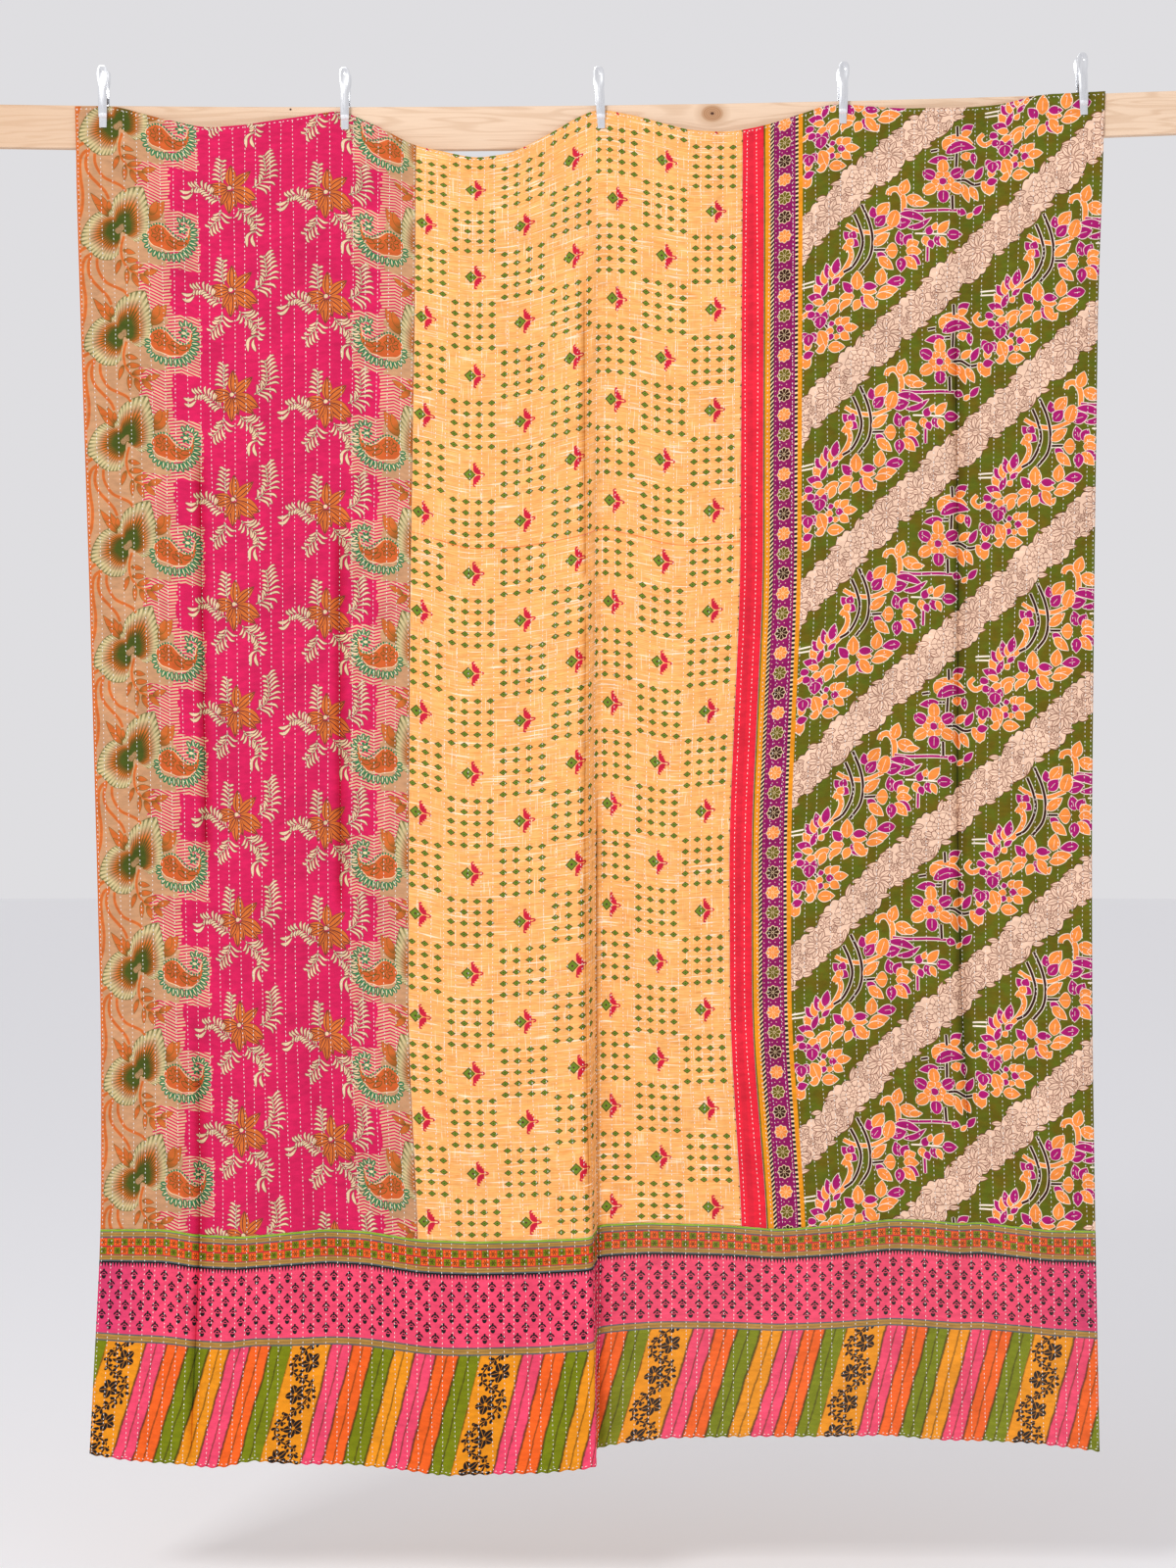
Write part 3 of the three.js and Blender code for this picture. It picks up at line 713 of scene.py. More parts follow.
BLOOM_REPEAT = ((303.0, 20.0), (0.0, 299.0))
FLORAL_LEFT = 1172.0
BLOOM_FULL = 1.35
BLOOM_LEAVES = (
    (0, 7.4, (157, 908), (157, 877)), (0, 5.4, (163, 908), (190, 912)), (1, 4.8, (167, 902), (191, 903)),
    (0, 6.4, (193, 913), (226, 907)), (0, 4.2, (189, 919), (217, 917)), (0, 7, (195, 901), (199, 873)),
    (1, 6.1, (237, 892), (206, 897)), (1, 5.8, (164, 919), (180, 939)),
    (0, 5.8, (170, 916), (184, 933), (192, 927)), (0, 5.1, (161, 924), (152, 942)),
    (0, 5.4, (152, 918), (128, 920)), (0, 3.8, (148, 925), (133, 933), (130, 943)),
    (1, 5.4, (149, 912), (133, 895)), (0, 5.1, (128, 924), (99, 937)), (0, 4.8, (121, 929), (112, 949)),
    (0, 4.2, (105, 934), (87, 941)), (0, 4.5, (96, 912), (85, 893)), (1, 3.8, (98, 916), (108, 893)),
    (1, 4.8, (100, 897), (88, 879)), (0, 4.5, (104, 896), (99, 873)), (1, 4.5, (110, 888), (105, 862)),
    (0, 3.8, (115, 887), (114, 868)), (1, 5.1, (119, 881), (125, 855)), (0, 3.5, (111, 908), (119, 900)),
    (1, 3.2, (115, 897), (128, 887)), (1, 5.4, (98, 919), (74, 911)), (0, 3.8, (101, 926), (82, 921)),
    (1, 6.7, (96, 947), (81, 949)), (1, 6.7, (96, 947), (109, 952)), (1, 7.4, (96, 947), (95, 968)),
    (0, 4.5, (123, 965), (131, 952)), (0, 4.8, (131, 964), (145, 953)), (0, 5.1, (135, 970), (159, 969)),
    (0, 5.1, (130, 978), (145, 989)), (0, 4.5, (123, 979), (122, 989)), (0, 4.2, (118, 974), (105, 973)),
    (1, 3.5, (116, 966), (113, 957)), (1, 3.5, (115, 978), (112, 989)), (1, 4.5, (123, 971), (136, 972)),
    (0, 7.7, (94, 971), (105, 1001)), (0, 3.8, (101, 993), (97, 1003), (88, 1002)),
    (0, 6.4, (109, 1000), (137, 1001)), (1, 5.4, (185, 790), (181, 771)), (0, 7.4, (190, 786), (209, 764)),
    (1, 6.7, (187, 803), (203, 785)), (1, 7, (218, 801), (246, 794)),
    (1, 4.5, (226, 782), (249, 784), (273, 795)), (1, 3.5, (240, 805), (260, 802), (279, 788)),
    (0, 7.4, (237, 754), (269, 766)), (0, 3.8, (252, 765), (274, 763)), (0, 6.7, (230, 749), (238, 723)),
    (1, 4.5, (322, 774), (337, 780)), (0, 2.9, (338, 787), (349, 779)), (1, 4.2, (349, 782), (364, 767)),
    (1, 6.1, (231, 835), (225, 811)), (1, 6.1, (236, 834), (247, 816)), (0, 6.4, (239, 837), (259, 829)),
    (0, 6.1, (238, 844), (264, 845)), (1, 5.8, (241, 852), (263, 866)), (0, 6.1, (236, 854), (257, 874)),
    (1, 6.1, (231, 855), (230, 879)), (0, 9, (224, 844), (204, 844)), (0, 5.8, (184, 835), (210, 815)),
    (1, 4.5, (190, 848), (207, 860)), (0, 5.8, (193, 855), (217, 875)), (1, 4.8, (273, 817), (280, 801)),
    (0, 3.5, (283, 809), (288, 796)), (0, 5.1, (291, 813), (309, 792)), (1, 6.4, (305, 815), (331, 814)),
    (0, 4.8, (268, 819), (274, 836)), (1, 4.2, (277, 825), (282, 839)), (1, 4.8, (287, 818), (295, 835)),
    (0, 3.8, (296, 819), (304, 836)), (1, 5.1, (147, 827), (134, 812)), (1, 5.1, (147, 825), (152, 811)),
    (1, 5.1, (146, 827), (159, 836)), (0, 4.8, (141, 835), (149, 824)), (0, 4.5, (333, 1017), (351, 1005)),
    (1, 4.5, (350, 1023), (363, 1001)), (0, 4.5, (375, 1020), (381, 1000)),
    (0, 4.5, (330, 730), (341, 761)), (0, 4.5, (342, 735), (356, 759)),
    (0, 5.4, (362, 727), (375, 743), (383, 734)), (1, 4.8, (370, 730), (388, 726)),
    (0, 9, (296, 968), (317, 954)), (1, 6.7, (301, 976), (324, 963), (350, 968)),
    (1, 5.4, (326, 939), (346, 928)), (0, 4.2, (326, 944), (343, 939)), (1, 5.1, (304, 985), (272, 991)),
    (0, 6.4, (334, 974), (336, 989)), (1, 3.8, (345, 976), (349, 997)), (1, 6.4, (76, 973), (64, 982)),
    (1, 6.4, (77, 974), (89, 987)), (1, 6.7, (76, 973), (76, 993)), (0, 5.6, (300, 1018), (306, 1008)),
    (0, 5.6, (304, 1024), (316, 1023)), (0, 5.6, (301, 1030), (307, 1039)),
    (0, 5.6, (294, 1030), (288, 1041)), (0, 5.6, (291, 1025), (278, 1026)),
    (0, 5.6, (294, 1019), (287, 1009)),
)
BLOOM_SPOTS = (
    (0, 9.2, (297, 1009), (296, 987)), (1, 9.2, (311, 1015), (330, 1004)),
    (0, 9.2, (311, 1031), (331, 1041)), (1, 9.2, (298, 1040), (298, 1061)),
    (0, 9.2, (284, 1033), (265, 1045)), (1, 9.2, (283, 1018), (264, 1008)),
    (1, 5.6, (70, 928), (84, 930)), (1, 5.9, (74, 941), (87, 943)), (0, 10.2, (212, 804), (221, 777)),
    (1, 5.9, (291, 1025), (303, 1024)),
)
BLOOM_STEMS = (
    (0, 4, (233, 778), (232, 756), (222, 741), (210, 743), (207, 751)),
    (1, 2.1, (233, 775), (261, 777), (302, 774), (327, 774)), (2, 1.9, (184, 843), (204, 843)),
    (1, 2.1, (274, 836), (274, 861)), (0, 3, (138, 801), (157, 811), (187, 814), (215, 804)),
    (0, 3.7, (135, 842), (139, 836), (146, 845), (145, 859), (131, 881), (115, 892)),
    (2, 2.2, (151, 784), (160, 804), (166, 828), (161, 850), (149, 870), (134, 879)),
    (2, 2.2, (163, 767), (176, 796), (182, 825), (178, 854), (161, 877)), (2, 2.2, (313, 749), (314, 773)),
    (2, 2.1, (319, 1023), (333, 1022), (349, 1031), (368, 1028)),
    (0, 3.7, (300, 953), (316, 947), (333, 952), (343, 962)), (2, 2.1, (319, 929), (320, 947)),
    (2, 2.1, (319, 974), (318, 1005)), (2, 1.9, (276, 973), (289, 970)), (2, 1.9, (293, 986), (314, 984)),
    (0, 3.5, (363, 945), (355, 954), (365, 964), (380, 957)), (2, 1.8, (103, 961), (110, 970)),
    (3, 0.2, (62, 890), (85, 888)), (3, 0.2, (62, 896), (87, 895)),
    (3, 0.2, (253, 815), (278, 815), (306, 815)),
)

# The pale bands of the right cloth, along (a) and across (b) their run.

BAND_WAY = np.array((151.5, -139.5))
BAND_REPEAT = (BAND_WAY, BLOOM_REPEAT[1])
BAND_RUN = BAND_WAY / np.hypot(*BAND_WAY)
BAND_ACROSS = np.array((-BAND_RUN[1], BAND_RUN[0]))
BAND_STEP = BLOOM_REPEAT[1][1] * BAND_ACROSS[1]
BAND_START = 0.93 * BAND_STEP
BAND_SWAY = np.hypot(*BAND_WAY) / 2
BAND_SWELL = np.hypot(*BAND_WAY) / 3
BAND_LOBE = np.hypot(*BAND_WAY) / 12
BAND_STARS = (
    (30, 0, 6, 11, 24, 9.5), (30, 0, 5, 5, 15, 7.0), (30, 0, 3, 0, 7, 4.6), (97, -3, 11, 5, 26, 5.2),
    (164, 4, 10, 5, 24, 5.2), (63, 18, 5, 1.5, 11, 4.4), (62, -17, 5, 1.5, 11, 4.4),
    (131, 18, 5, 1.5, 10.5, 4.2), (132, -17, 5, 1.5, 10.5, 4.2), (195, -15, 5, 1.5, 11, 4.4),
    (193, 19, 5, 1.5, 10, 4.2), (64, 1, 5, 1, 8, 3.2), (131, 1, 5, 1, 8, 3.2), (198, 3, 5, 1, 7.5, 3.0),
)
BAND_LEAVES = (
    (42, -19, 62, -31), (78, 17, 96, 30), (118, -18, 100, -32), (146, -18, 126, -30), (172, 22, 194, 31),
    (8, -17, -10, -30), (5, 18, -12, 31), (46, 18, 58, 32), (12, 20, 28, 31), (112, 20, 126, 31),
    (146, 22, 160, 32), (78, -21, 66, -31), (178, -20, 164, -31), (206, -4, 214, 10), (44, 4, 54, -6),
    (118, 6, 108, 18), (146, -6, 140, 8), (184, -4, 180, -14), (78, 4, 72, 14), (10, 2, 0, -8),
)
BAND_LEAF_HALF = 4.2
BAND_EYES = ((95, -2, 4.4), (160, 3, 4.2))

# The right cloth's left side: how far each line of its edge reaches, and the rosettes of its purple band.

EDGE_REACH = (65.0, 58.0, 53.0, 17.5, 11.5, 2.5)
ROPE_STEP = 7.6
ROSETTE_STEP = 32.7
ROSETTE_ACROSS = 35.0
ROSETTE_DOWN = 9.0
ROSETTE_RADIUS = 11.0


def print_floral(mesh, flat):
    """Flowers and pale bands of the right cloth."""
    places = flat - (FLORAL_LEFT, 0)
    rows = [(ink, STEM, half, *path) for ink, half, *path in BLOOM_STEMS]
    rows += [(ink, LEAF, BLOOM_FULL * half, *path) for ink, half, *path in BLOOM_LEAVES]
    rows += [(ink, OVAL, half, *path) for ink, half, *path in BLOOM_SPOTS]
    print_motifs(mesh, "bloom", BLOOM_LAYERS, BLOOM_REPEAT, (rows, places))
    frame_of = np.array((BAND_RUN, BAND_ACROSS))
    start = BAND_START * BAND_ACROSS
    rows = [(0, LEAF, BAND_LEAF_HALF, *(np.reshape(leaf, (2, 2)) @ frame_of + start)) for leaf in BAND_LEAVES]
    for a, b, count, inner, outer, half in BAND_STARS:
        rows += ring(np.array((a, b)) @ frame_of + start, count, inner, outer, half, 0, turn=0.1 * a)
    rows += [spot(np.array((a, b)) @ frame_of + start, radius, 0) for a, b, radius in BAND_EYES]
    print_motifs(mesh, "lace", LACE_LAYERS, BAND_REPEAT, (rows, places))


# The red strip's fold mark, across the flat quilt.

FOLD_MARK_AT = 1148.0

# The border's bands, down from its seam. Its vine climbs a slanted stripe, which leans to the left on its
# way down.

GOLD_BANDS = ((168.0, 181.0), (40.0, 51.5), (2.5, 13.5))
GOLD_EDGE = 2.2
COMB_FOOT, COMB_TIPS, COMB_TOOTH = 54.0, 62.0, 5.4
CHECKS_BOTTOM = 41.5
LIME_BOTTOM = 3.2
CHECK_WIDE, CHECK_TALL, CHECK_TOP = 12.6, 14.0, 13.5
BUD_WIDE, BUD_TALL, BUD_TOP = 27.0, 16.4, 64.0

STRIPES = ("rose", "tangerine", "grass", "mustard", "rose", "tangerine", "grass")
STRIPE_WIDE = 69.0
STRIPE_NARROW = 36.0
STRIPE_PERIOD = STRIPE_WIDE + STRIPE_NARROW * len(STRIPES)
STRIPE_LEAN = 0.28
STRIPE_AT = (34.0, 257.0)
VINE_STEP = 104.0
VINE_HALF, VINE_LEAFLETS = 1.5, (11, 11, 2.6)
VINE_PETALS = (5, 2.4, 16.5, 6.0)
VINE_FLOWERS = ((6, 0), (-6, 50))
VINE_STEM = ((-19, -18), (-17, -1), (-9, 16), (7, 31), (21, 48), (22, 63), (9, 74), (-10, 82), (-19, 86))


def print_border(mesh, flat):
    """The vine of the border's broad stripes."""
    down = flat[:, 1] - BORDER_SEAM_AT
    straight = flat[:, 0] - STRIPE_AT[0] + STRIPE_LEAN * (down - STRIPE_AT[1])
    rows = []
    for path in (VINE_STEM, np.multiply(VINE_STEM, (-1, 1)) + (0, VINE_STEP / 2)):
        rows.append((0, STEM, VINE_HALF, *path))
        rows += leaflets(path, *VINE_LEAFLETS, 0, 1)
        rows += leaflets(path, *VINE_LEAFLETS, 0, -1)
    for centre in VINE_FLOWERS:
        rows += ring(centre, *VINE_PETALS, 1, 0.4, OVAL)
    repeat = ((STRIPE_PERIOD, 0), (0, VINE_STEP))
    print_motifs(mesh, "vine", VINE_LAYERS, repeat, (rows, np.column_stack((straight, down))))


# Printed cottons

def field(tree, name):
    """The parts of a vector that is kept on the cloth."""
    return node(tree, "SeparateXYZ", node(tree, "Attribute", attribute_name=name).outputs["Vector"]).outputs


def flat_place(tree):
    """Place on the flat cloth in millimetres, across and down."""
    metres = node(tree, "UVMap", uv_map="flat")
    flat = node(tree, "VectorMath:SCALE", metres, links={"Scale": 1000.0})
    return node(tree, "SeparateXYZ", flat).outputs[:2]


def around(tree, value, step, start=0.0):
    """Distance from the nearest of a row of evenly spaced places, with its sign."""
    moved = node(tree, "SUBTRACT", value, start - step / 2)
    return node(tree, "SUBTRACT", node(tree, "FLOORED_MODULO", moved, step), step / 2)


def distance(tree, x, y):
    """Distance of a place from the middle of its motif."""
    return node(tree, "SQRT", node(tree, "MULTIPLY_ADD", x, x, node(tree, "MULTIPLY", y, y)))


def lay(tree, ground, colour, depth, edge=0.0, soft=0.4):
    """Ground with a colour laid over it where a depth passes an edge."""
    mask = node(tree, "MapRange", depth, edge - soft, edge + soft, 0.0, 1.0)
    return node(tree, "MixRGB", mask, ground, colour)


def pick(tree, number, *colours):
    """The colour that a whole number stands for."""
    share = node(tree, "DIVIDE", node(tree, "ADD", number, 0.5), len(colours))
    stops = [(i / len(colours), colour) for i, colour in enumerate(colours)]
    return node(tree, "ValToRGB", share, stops=stops, blend="CONSTANT")


def motif(tree, name):
    """Depth inside the motif that reaches a face, distance from its middle line, part of its length and
    its ink."""
    part, beside, half = field(tree, name)
    length, ink, blunt = field(tree, name + "_kind")
    held = node(tree, "MINIMUM", node(tree, "MAXIMUM", part, 0.0), 1.0)
    lean = node(tree, "POWER", held, LEAN)
    full = node(tree, "MULTIPLY", lean, node(tree, "MULTIPLY_ADD", lean, -4.0, 4.0))
    wide = node(tree, "MULTIPLY", half, node(tree, "POWER", full, blunt))
    side = node(tree, "ABSOLUTE", beside)
    past = node(tree, "MULTIPLY", node(tree, "ABSOLUTE", node(tree, "SUBTRACT", part, held)), length)
    depth = node(tree, "SUBTRACT", node(tree, "SUBTRACT", wide, side), past)
    return depth, side, held, ink


def woven(tree, shader, colour, thread=1.6, fade=0.1, dent=0.45):
    """Finishes a printed cotton: uneven dye, painted shade along its pressed folds, a plain weave and soft
    crinkles whose light and shade are also painted into the colour.
    """
    flat = node(tree, "VectorMath:SCALE", node(tree, "UVMap", uv_map="flat"), links={"Scale": 1000.0})
    cloud = node(tree, "TexNoise", links={"Vector": flat, "Scale": 1 / 70, "Detail": 3.0})
    tone = node(tree, "MapRange", cloud.outputs["Fac"], 0.3, 0.7, 1 - fade, 1 + fade)
    stretched = node(tree, "VectorMath:MULTIPLY", flat, (0.35, 1.0, 1.0))
    crinkle = node(tree, "TexNoise", links={"Vector": stretched, "Scale": 1 / 7, "Detail": 2.0})
    # The crinkle noise also darkens and lightens the colour a little: painted shade and light of the
    # crinkles.
    tone = node(tree, "MULTIPLY", tone, node(tree, "MapRange", crinkle.outputs["Fac"], 0.3, 0.7, 0.87, 1.09))
    # Painted shade along the pressed folds: a narrow dark line and a soft wider halo beside each fold, deeper
    # in colour as well as darker.
    off, deep = field(tree, "crease")[:2]
    away = node(tree, "ABSOLUTE", off)
    pressed = node(tree, "MAXIMUM", node(tree, "MapRange", away, 0.6, 2.4, 0.12, 0.0), node(
        tree, "MapRange", away, 2.0, 16.0, 0.04, 0.0))
    pressed = node(tree, "MULTIPLY", pressed, deep)
    fold_shaded_colour = node(tree, "Gamma", colour, node(tree, "MULTIPLY_ADD", pressed, 1.6, 1.0))
    tone = node(tree, "SUBTRACT", tone, pressed)
    shaded = node(tree, "HueSaturation", links={"Value": tone, "Color": fold_shaded_colour})
    tree.links.new(shaded.outputs["Color"], shader.inputs["Base Color"])
    weave = node(tree, "TexNoise", links={"Vector": flat, "Scale": 1 / thread, "Detail": 1.0})
    height = node(tree, "MULTIPLY_ADD", weave.outputs["Fac"], 0.15, crinkle.outputs["Fac"])
    bump = node(tree, "Bump", links={"Strength": dent, "Distance": 0.004, "Height": height})
    tree.links.new(bump.outputs["Normal"], shader.inputs["Normal"])


def paisley_cotton():
    """Fine printed cotton, matt, with a faint bloom: pink field, tan edges, paisleys and flowers. The
    comb of lines at the edges is drawn a quarter coarser than it is, so that it shows."""
    material, tree, shader = finish("printed cotton, paisley", 0.88, sheen=0.02, gloss=0.15)
    c = inks()
    u, v = flat_place(tree)
    middle = node(tree, "ABSOLUTE", node(tree, "SUBTRACT", u, PAISLEY_MIDDLE))
    inward = node(tree, "SUBTRACT", PAISLEY_MIDDLE, middle)
    beside = node(tree, "ABSOLUTE", around(tree, v, PAISLEY_REPEAT[1][1], PAISLEY_START))
    wide_row = node(tree, "LESS_THAN", beside, 48.8)
    drawn_in = node(tree, "ABSOLUTE", around(tree, u, 60.0, 20.0))
    bent = node(tree, "DIVIDE", node(tree, "MULTIPLY_ADD", drawn_in, 0.3, v), COMB_STEP)
    ragged = node(tree, "TexWhiteNoise", links={"W": node(tree, "FLOOR", bent)}, noise_dimensions="1D")
    stepped = node(tree, "MULTIPLY_ADD", wide_row, -49.0, inward)
    frayed = node(tree, "MULTIPLY_ADD", ragged.outputs["Value"], 6.0, stepped)
    line = node(tree, "SUBTRACT", node(tree, "FRACT", bent), 0.5)
    ground = lay(tree, c.tan, c.pink, node(tree, "SUBTRACT", frayed, 100.0), soft=1.0)
    pale = node(tree, "MixRGB", 0.5, c.tan, c.cream)
    lined = lay(tree, ground, pale, line, soft=0.08)
    comb = node(tree, "MULTIPLY", node(tree, "GREATER_THAN", frayed, 100.0),
                node(tree, "LESS_THAN", frayed, 157.0))
    colour = node(tree, "MixRGB", comb, ground, lined)
    hem = node(tree, "SUBTRACT", 5.0, u)
    colour = lay(tree, colour, c.rust, hem)

    x, y, share = field(tree, "bean")
    turn = node(tree, "ARCTAN2", y, x)
    hatch = node(tree, "SINE", node(tree, "MULTIPLY", turn, 60.0))
    bean = node(tree, "ValToRGB", share, stops=(
        (0.0, c.tan), (0.12, c.tan), (0.15, c.moss), (0.34, c.moss), (0.46, c.walnut), (0.58, c.rust),
        (0.7, c.tan), (0.84, c.sage), (0.97, c.sage), (1.0, c.moss),
    ))
    inner = node(tree, "MapRange", share, 0.5, 0.84, 0.95, 0.25)
    outer = node(tree, "MapRange", share, 0.8, 1.0, 0.25, 0.9)
    lines = node(tree, "MULTIPLY", node(tree, "MapRange", hatch, -0.1, 0.5, 0.0, 1.0), node(
        tree, "MAXIMUM", inner, outer))
    drawn = node(tree, "MixRGB", lines, bean, c.moss)
    colour = lay(tree, colour, drawn, node(tree, "SUBTRACT", 1.0, share), soft=0.015)

    depth = field(tree, "mango")[0]
    colour = lay(tree, colour, c.cream, depth, edge=-1.2)
    colour = lay(tree, colour, c.mango, depth)

    for i in reversed(range(PAISLEY_LAYERS)):
        depth, side, part, ink = motif(tree, f"paisley{i}")
        edge = pick(tree, ink, c.plum, c.moss, c.plum, c.jade, c.rust, c.moss)
        fill = pick(tree, ink, c.petal, c.rust, c.cream, c.jade, c.rust, c.mango)
        shaded = node(tree, "MULTIPLY", node(tree, "COMPARE", ink, LEAF_INK, 0.4), node(
            tree, "MapRange", part, 0.0, 0.4, 0.7, 0.0))
        fill = node(tree, "MixRGB", shaded, fill, c.moss)
        rib = node(tree, "ABSOLUTE", node(tree, "SUBTRACT", side, node(
            tree, "MULTIPLY", node(tree, "ADD", depth, side), 0.42)))
        rib = node(tree, "MULTIPLY_ADD", node(tree, "SUBTRACT", 0.9, rib), node(
            tree, "COMPARE", ink, PETAL_INK, 0.4), -0.5)
        fill = lay(tree, fill, c.plum, node(tree, "MINIMUM", rib, node(tree, "SUBTRACT", depth, 0.8)),
                   edge=-0.3, soft=0.25)
        eye = node(tree, "MULTIPLY", depth, node(tree, "COMPARE", ink, LOOP_INK, 0.4))
        fill = lay(tree, fill, c.cream, eye, edge=2.2, soft=0.3)
        inked = node(tree, "MULTIPLY_ADD", node(tree, "COMPARE", ink, MANGO_INK, 0.4), -0.6, depth)
        colour = lay(tree, colour, edge, depth, edge=-0.6)
        colour = lay(tree, colour, fill, inked, edge=0.1)
    woven(tree, shader, colour)
    return material


def streaks(tree, u, v, length, width, low, high):
    """Strength of uneven threads that run across the cloth."""
    place = node(tree, "CombineXYZ", node(tree, "DIVIDE", u, length), node(tree, "DIVIDE", v, width))
    noise = node(tree, "TexNoise", links={"Vector": place, "Scale": 1.0, "Detail": 1.0})
    return node(tree, "MapRange", noise.outputs["Fac"], low, high, 0.0, 1.0)


def dotted_cotton():
    """Slubbed printed cotton, matt and a little uneven: yellow-orange with dots and winged diamonds. The slub
    threads are drawn about twice as coarse as they are, so that they show."""
    material, tree, shader = finish("printed cotton, dotted", 0.9, sheen=0.02, gloss=0.15)
    c = inks()
    u, v = flat_place(tree)
    colour = node(tree, "MixRGB", streaks(tree, u, v, 46.0, 1.5, 0.42, 0.72), c.yellow, c.weft)
    weft = node(tree, "MULTIPLY", streaks(tree, u, v, 62.0, 2.6, 0.62, 0.70), 0.85)
    colour = node(tree, "MixRGB", weft, colour, c.slub)
    warp = node(tree, "MULTIPLY", streaks(tree, v, u, 44.0, 2.4, 0.64, 0.72), 0.7)
    colour = node(tree, "MixRGB", warp, colour, c.slub)

    wide, tall = DOT_CELL
    from_left = node(tree, "SUBTRACT", u, DOT_LEFT)
    column = node(tree, "FLOOR", node(tree, "DIVIDE", from_left, wide))
    odd = node(tree, "FLOORED_MODULO", column, 2.0)
    lowered = node(tree, "MULTIPLY_ADD", odd, tall, node(tree, "SUBTRACT", v, DOT_TOP))
    down = node(tree, "FLOORED_MODULO", lowered, 2 * tall)
    x = node(tree, "ABSOLUTE", around(tree, from_left, DOT_STEP[0], DOT_START[0]))
    y = node(tree, "ABSOLUTE", around(tree, down, DOT_STEP[1], DOT_START[1]))
    x, y = (node(tree, "DIVIDE", off, half) for off, half in zip((x, y), DOT_HALF))
    dot = node(tree, "ADD", x, y)
    other = node(tree, "MULTIPLY", node(tree, "GREATER_THAN", down, tall), 5.0)
    dot = node(tree, "SUBTRACT", 1.0, node(tree, "ADD", dot, other))
    colour = lay(tree, colour, c.bark, dot, soft=0.08)
    colour = lay(tree, colour, c.leaf, dot, edge=0.27, soft=0.08)
    colour = lay(tree, colour, c.bark, dot, edge=0.78, soft=0.06)

    for i in reversed(range(WING_LAYERS)):
        colour = lay(tree, colour, c.crimson, motif(tree, f"wing{i}")[0])
    x = node(tree, "SUBTRACT", node(tree, "FLOORED_MODULO", from_left, wide), DIAMOND_LEFT)
    y = node(tree, "SUBTRACT", down, 1.5 * tall)
    diamond = node(tree, "SUBTRACT", DIAMOND_HALF, node(tree, "ADD", node(tree, "ABSOLUTE", x), node(
        tree, "ABSOLUTE", y)))
    colour = lay(tree, colour, c.bark, diamond)
    colour = lay(tree, colour, c.leaf, diamond, edge=1.9)
    colour = lay(tree, colour, c.plum, node(tree, "SUBTRACT", DIAMOND_EYE, distance(tree, x, y)))
    line = node(tree, "MapRange", u, *STRAY_WEFT)
    stray = node(tree, "ABSOLUTE", node(tree, "SUBTRACT", v, line))
    colour = node(tree, "MixRGB", node(tree, "MapRange", stray, 0.3, 1.4, 0.7, 0.0), colour, c.tangerine)
    woven(tree, shader, colour, thread=2.0, fade=0.06)
    return material


def red_cotton():
    """Plain red cotton, matt, a shade darker where a fold has worn down its middle."""
    material, tree, shader = finish("plain red cotton", 0.88, sheen=0.02, gloss=0.15)
    c = inks()
    u = flat_place(tree)[0]
    off = node(tree, "ABSOLUTE", node(tree, "SUBTRACT", u, FOLD_MARK_AT))
    worn = node(tree, "MapRange", off, 4.0, 5.5, 0.4, 0.0)
    woven(tree, shader, node(tree, "MixRGB", worn, c.red, c.deep_red))
    return material


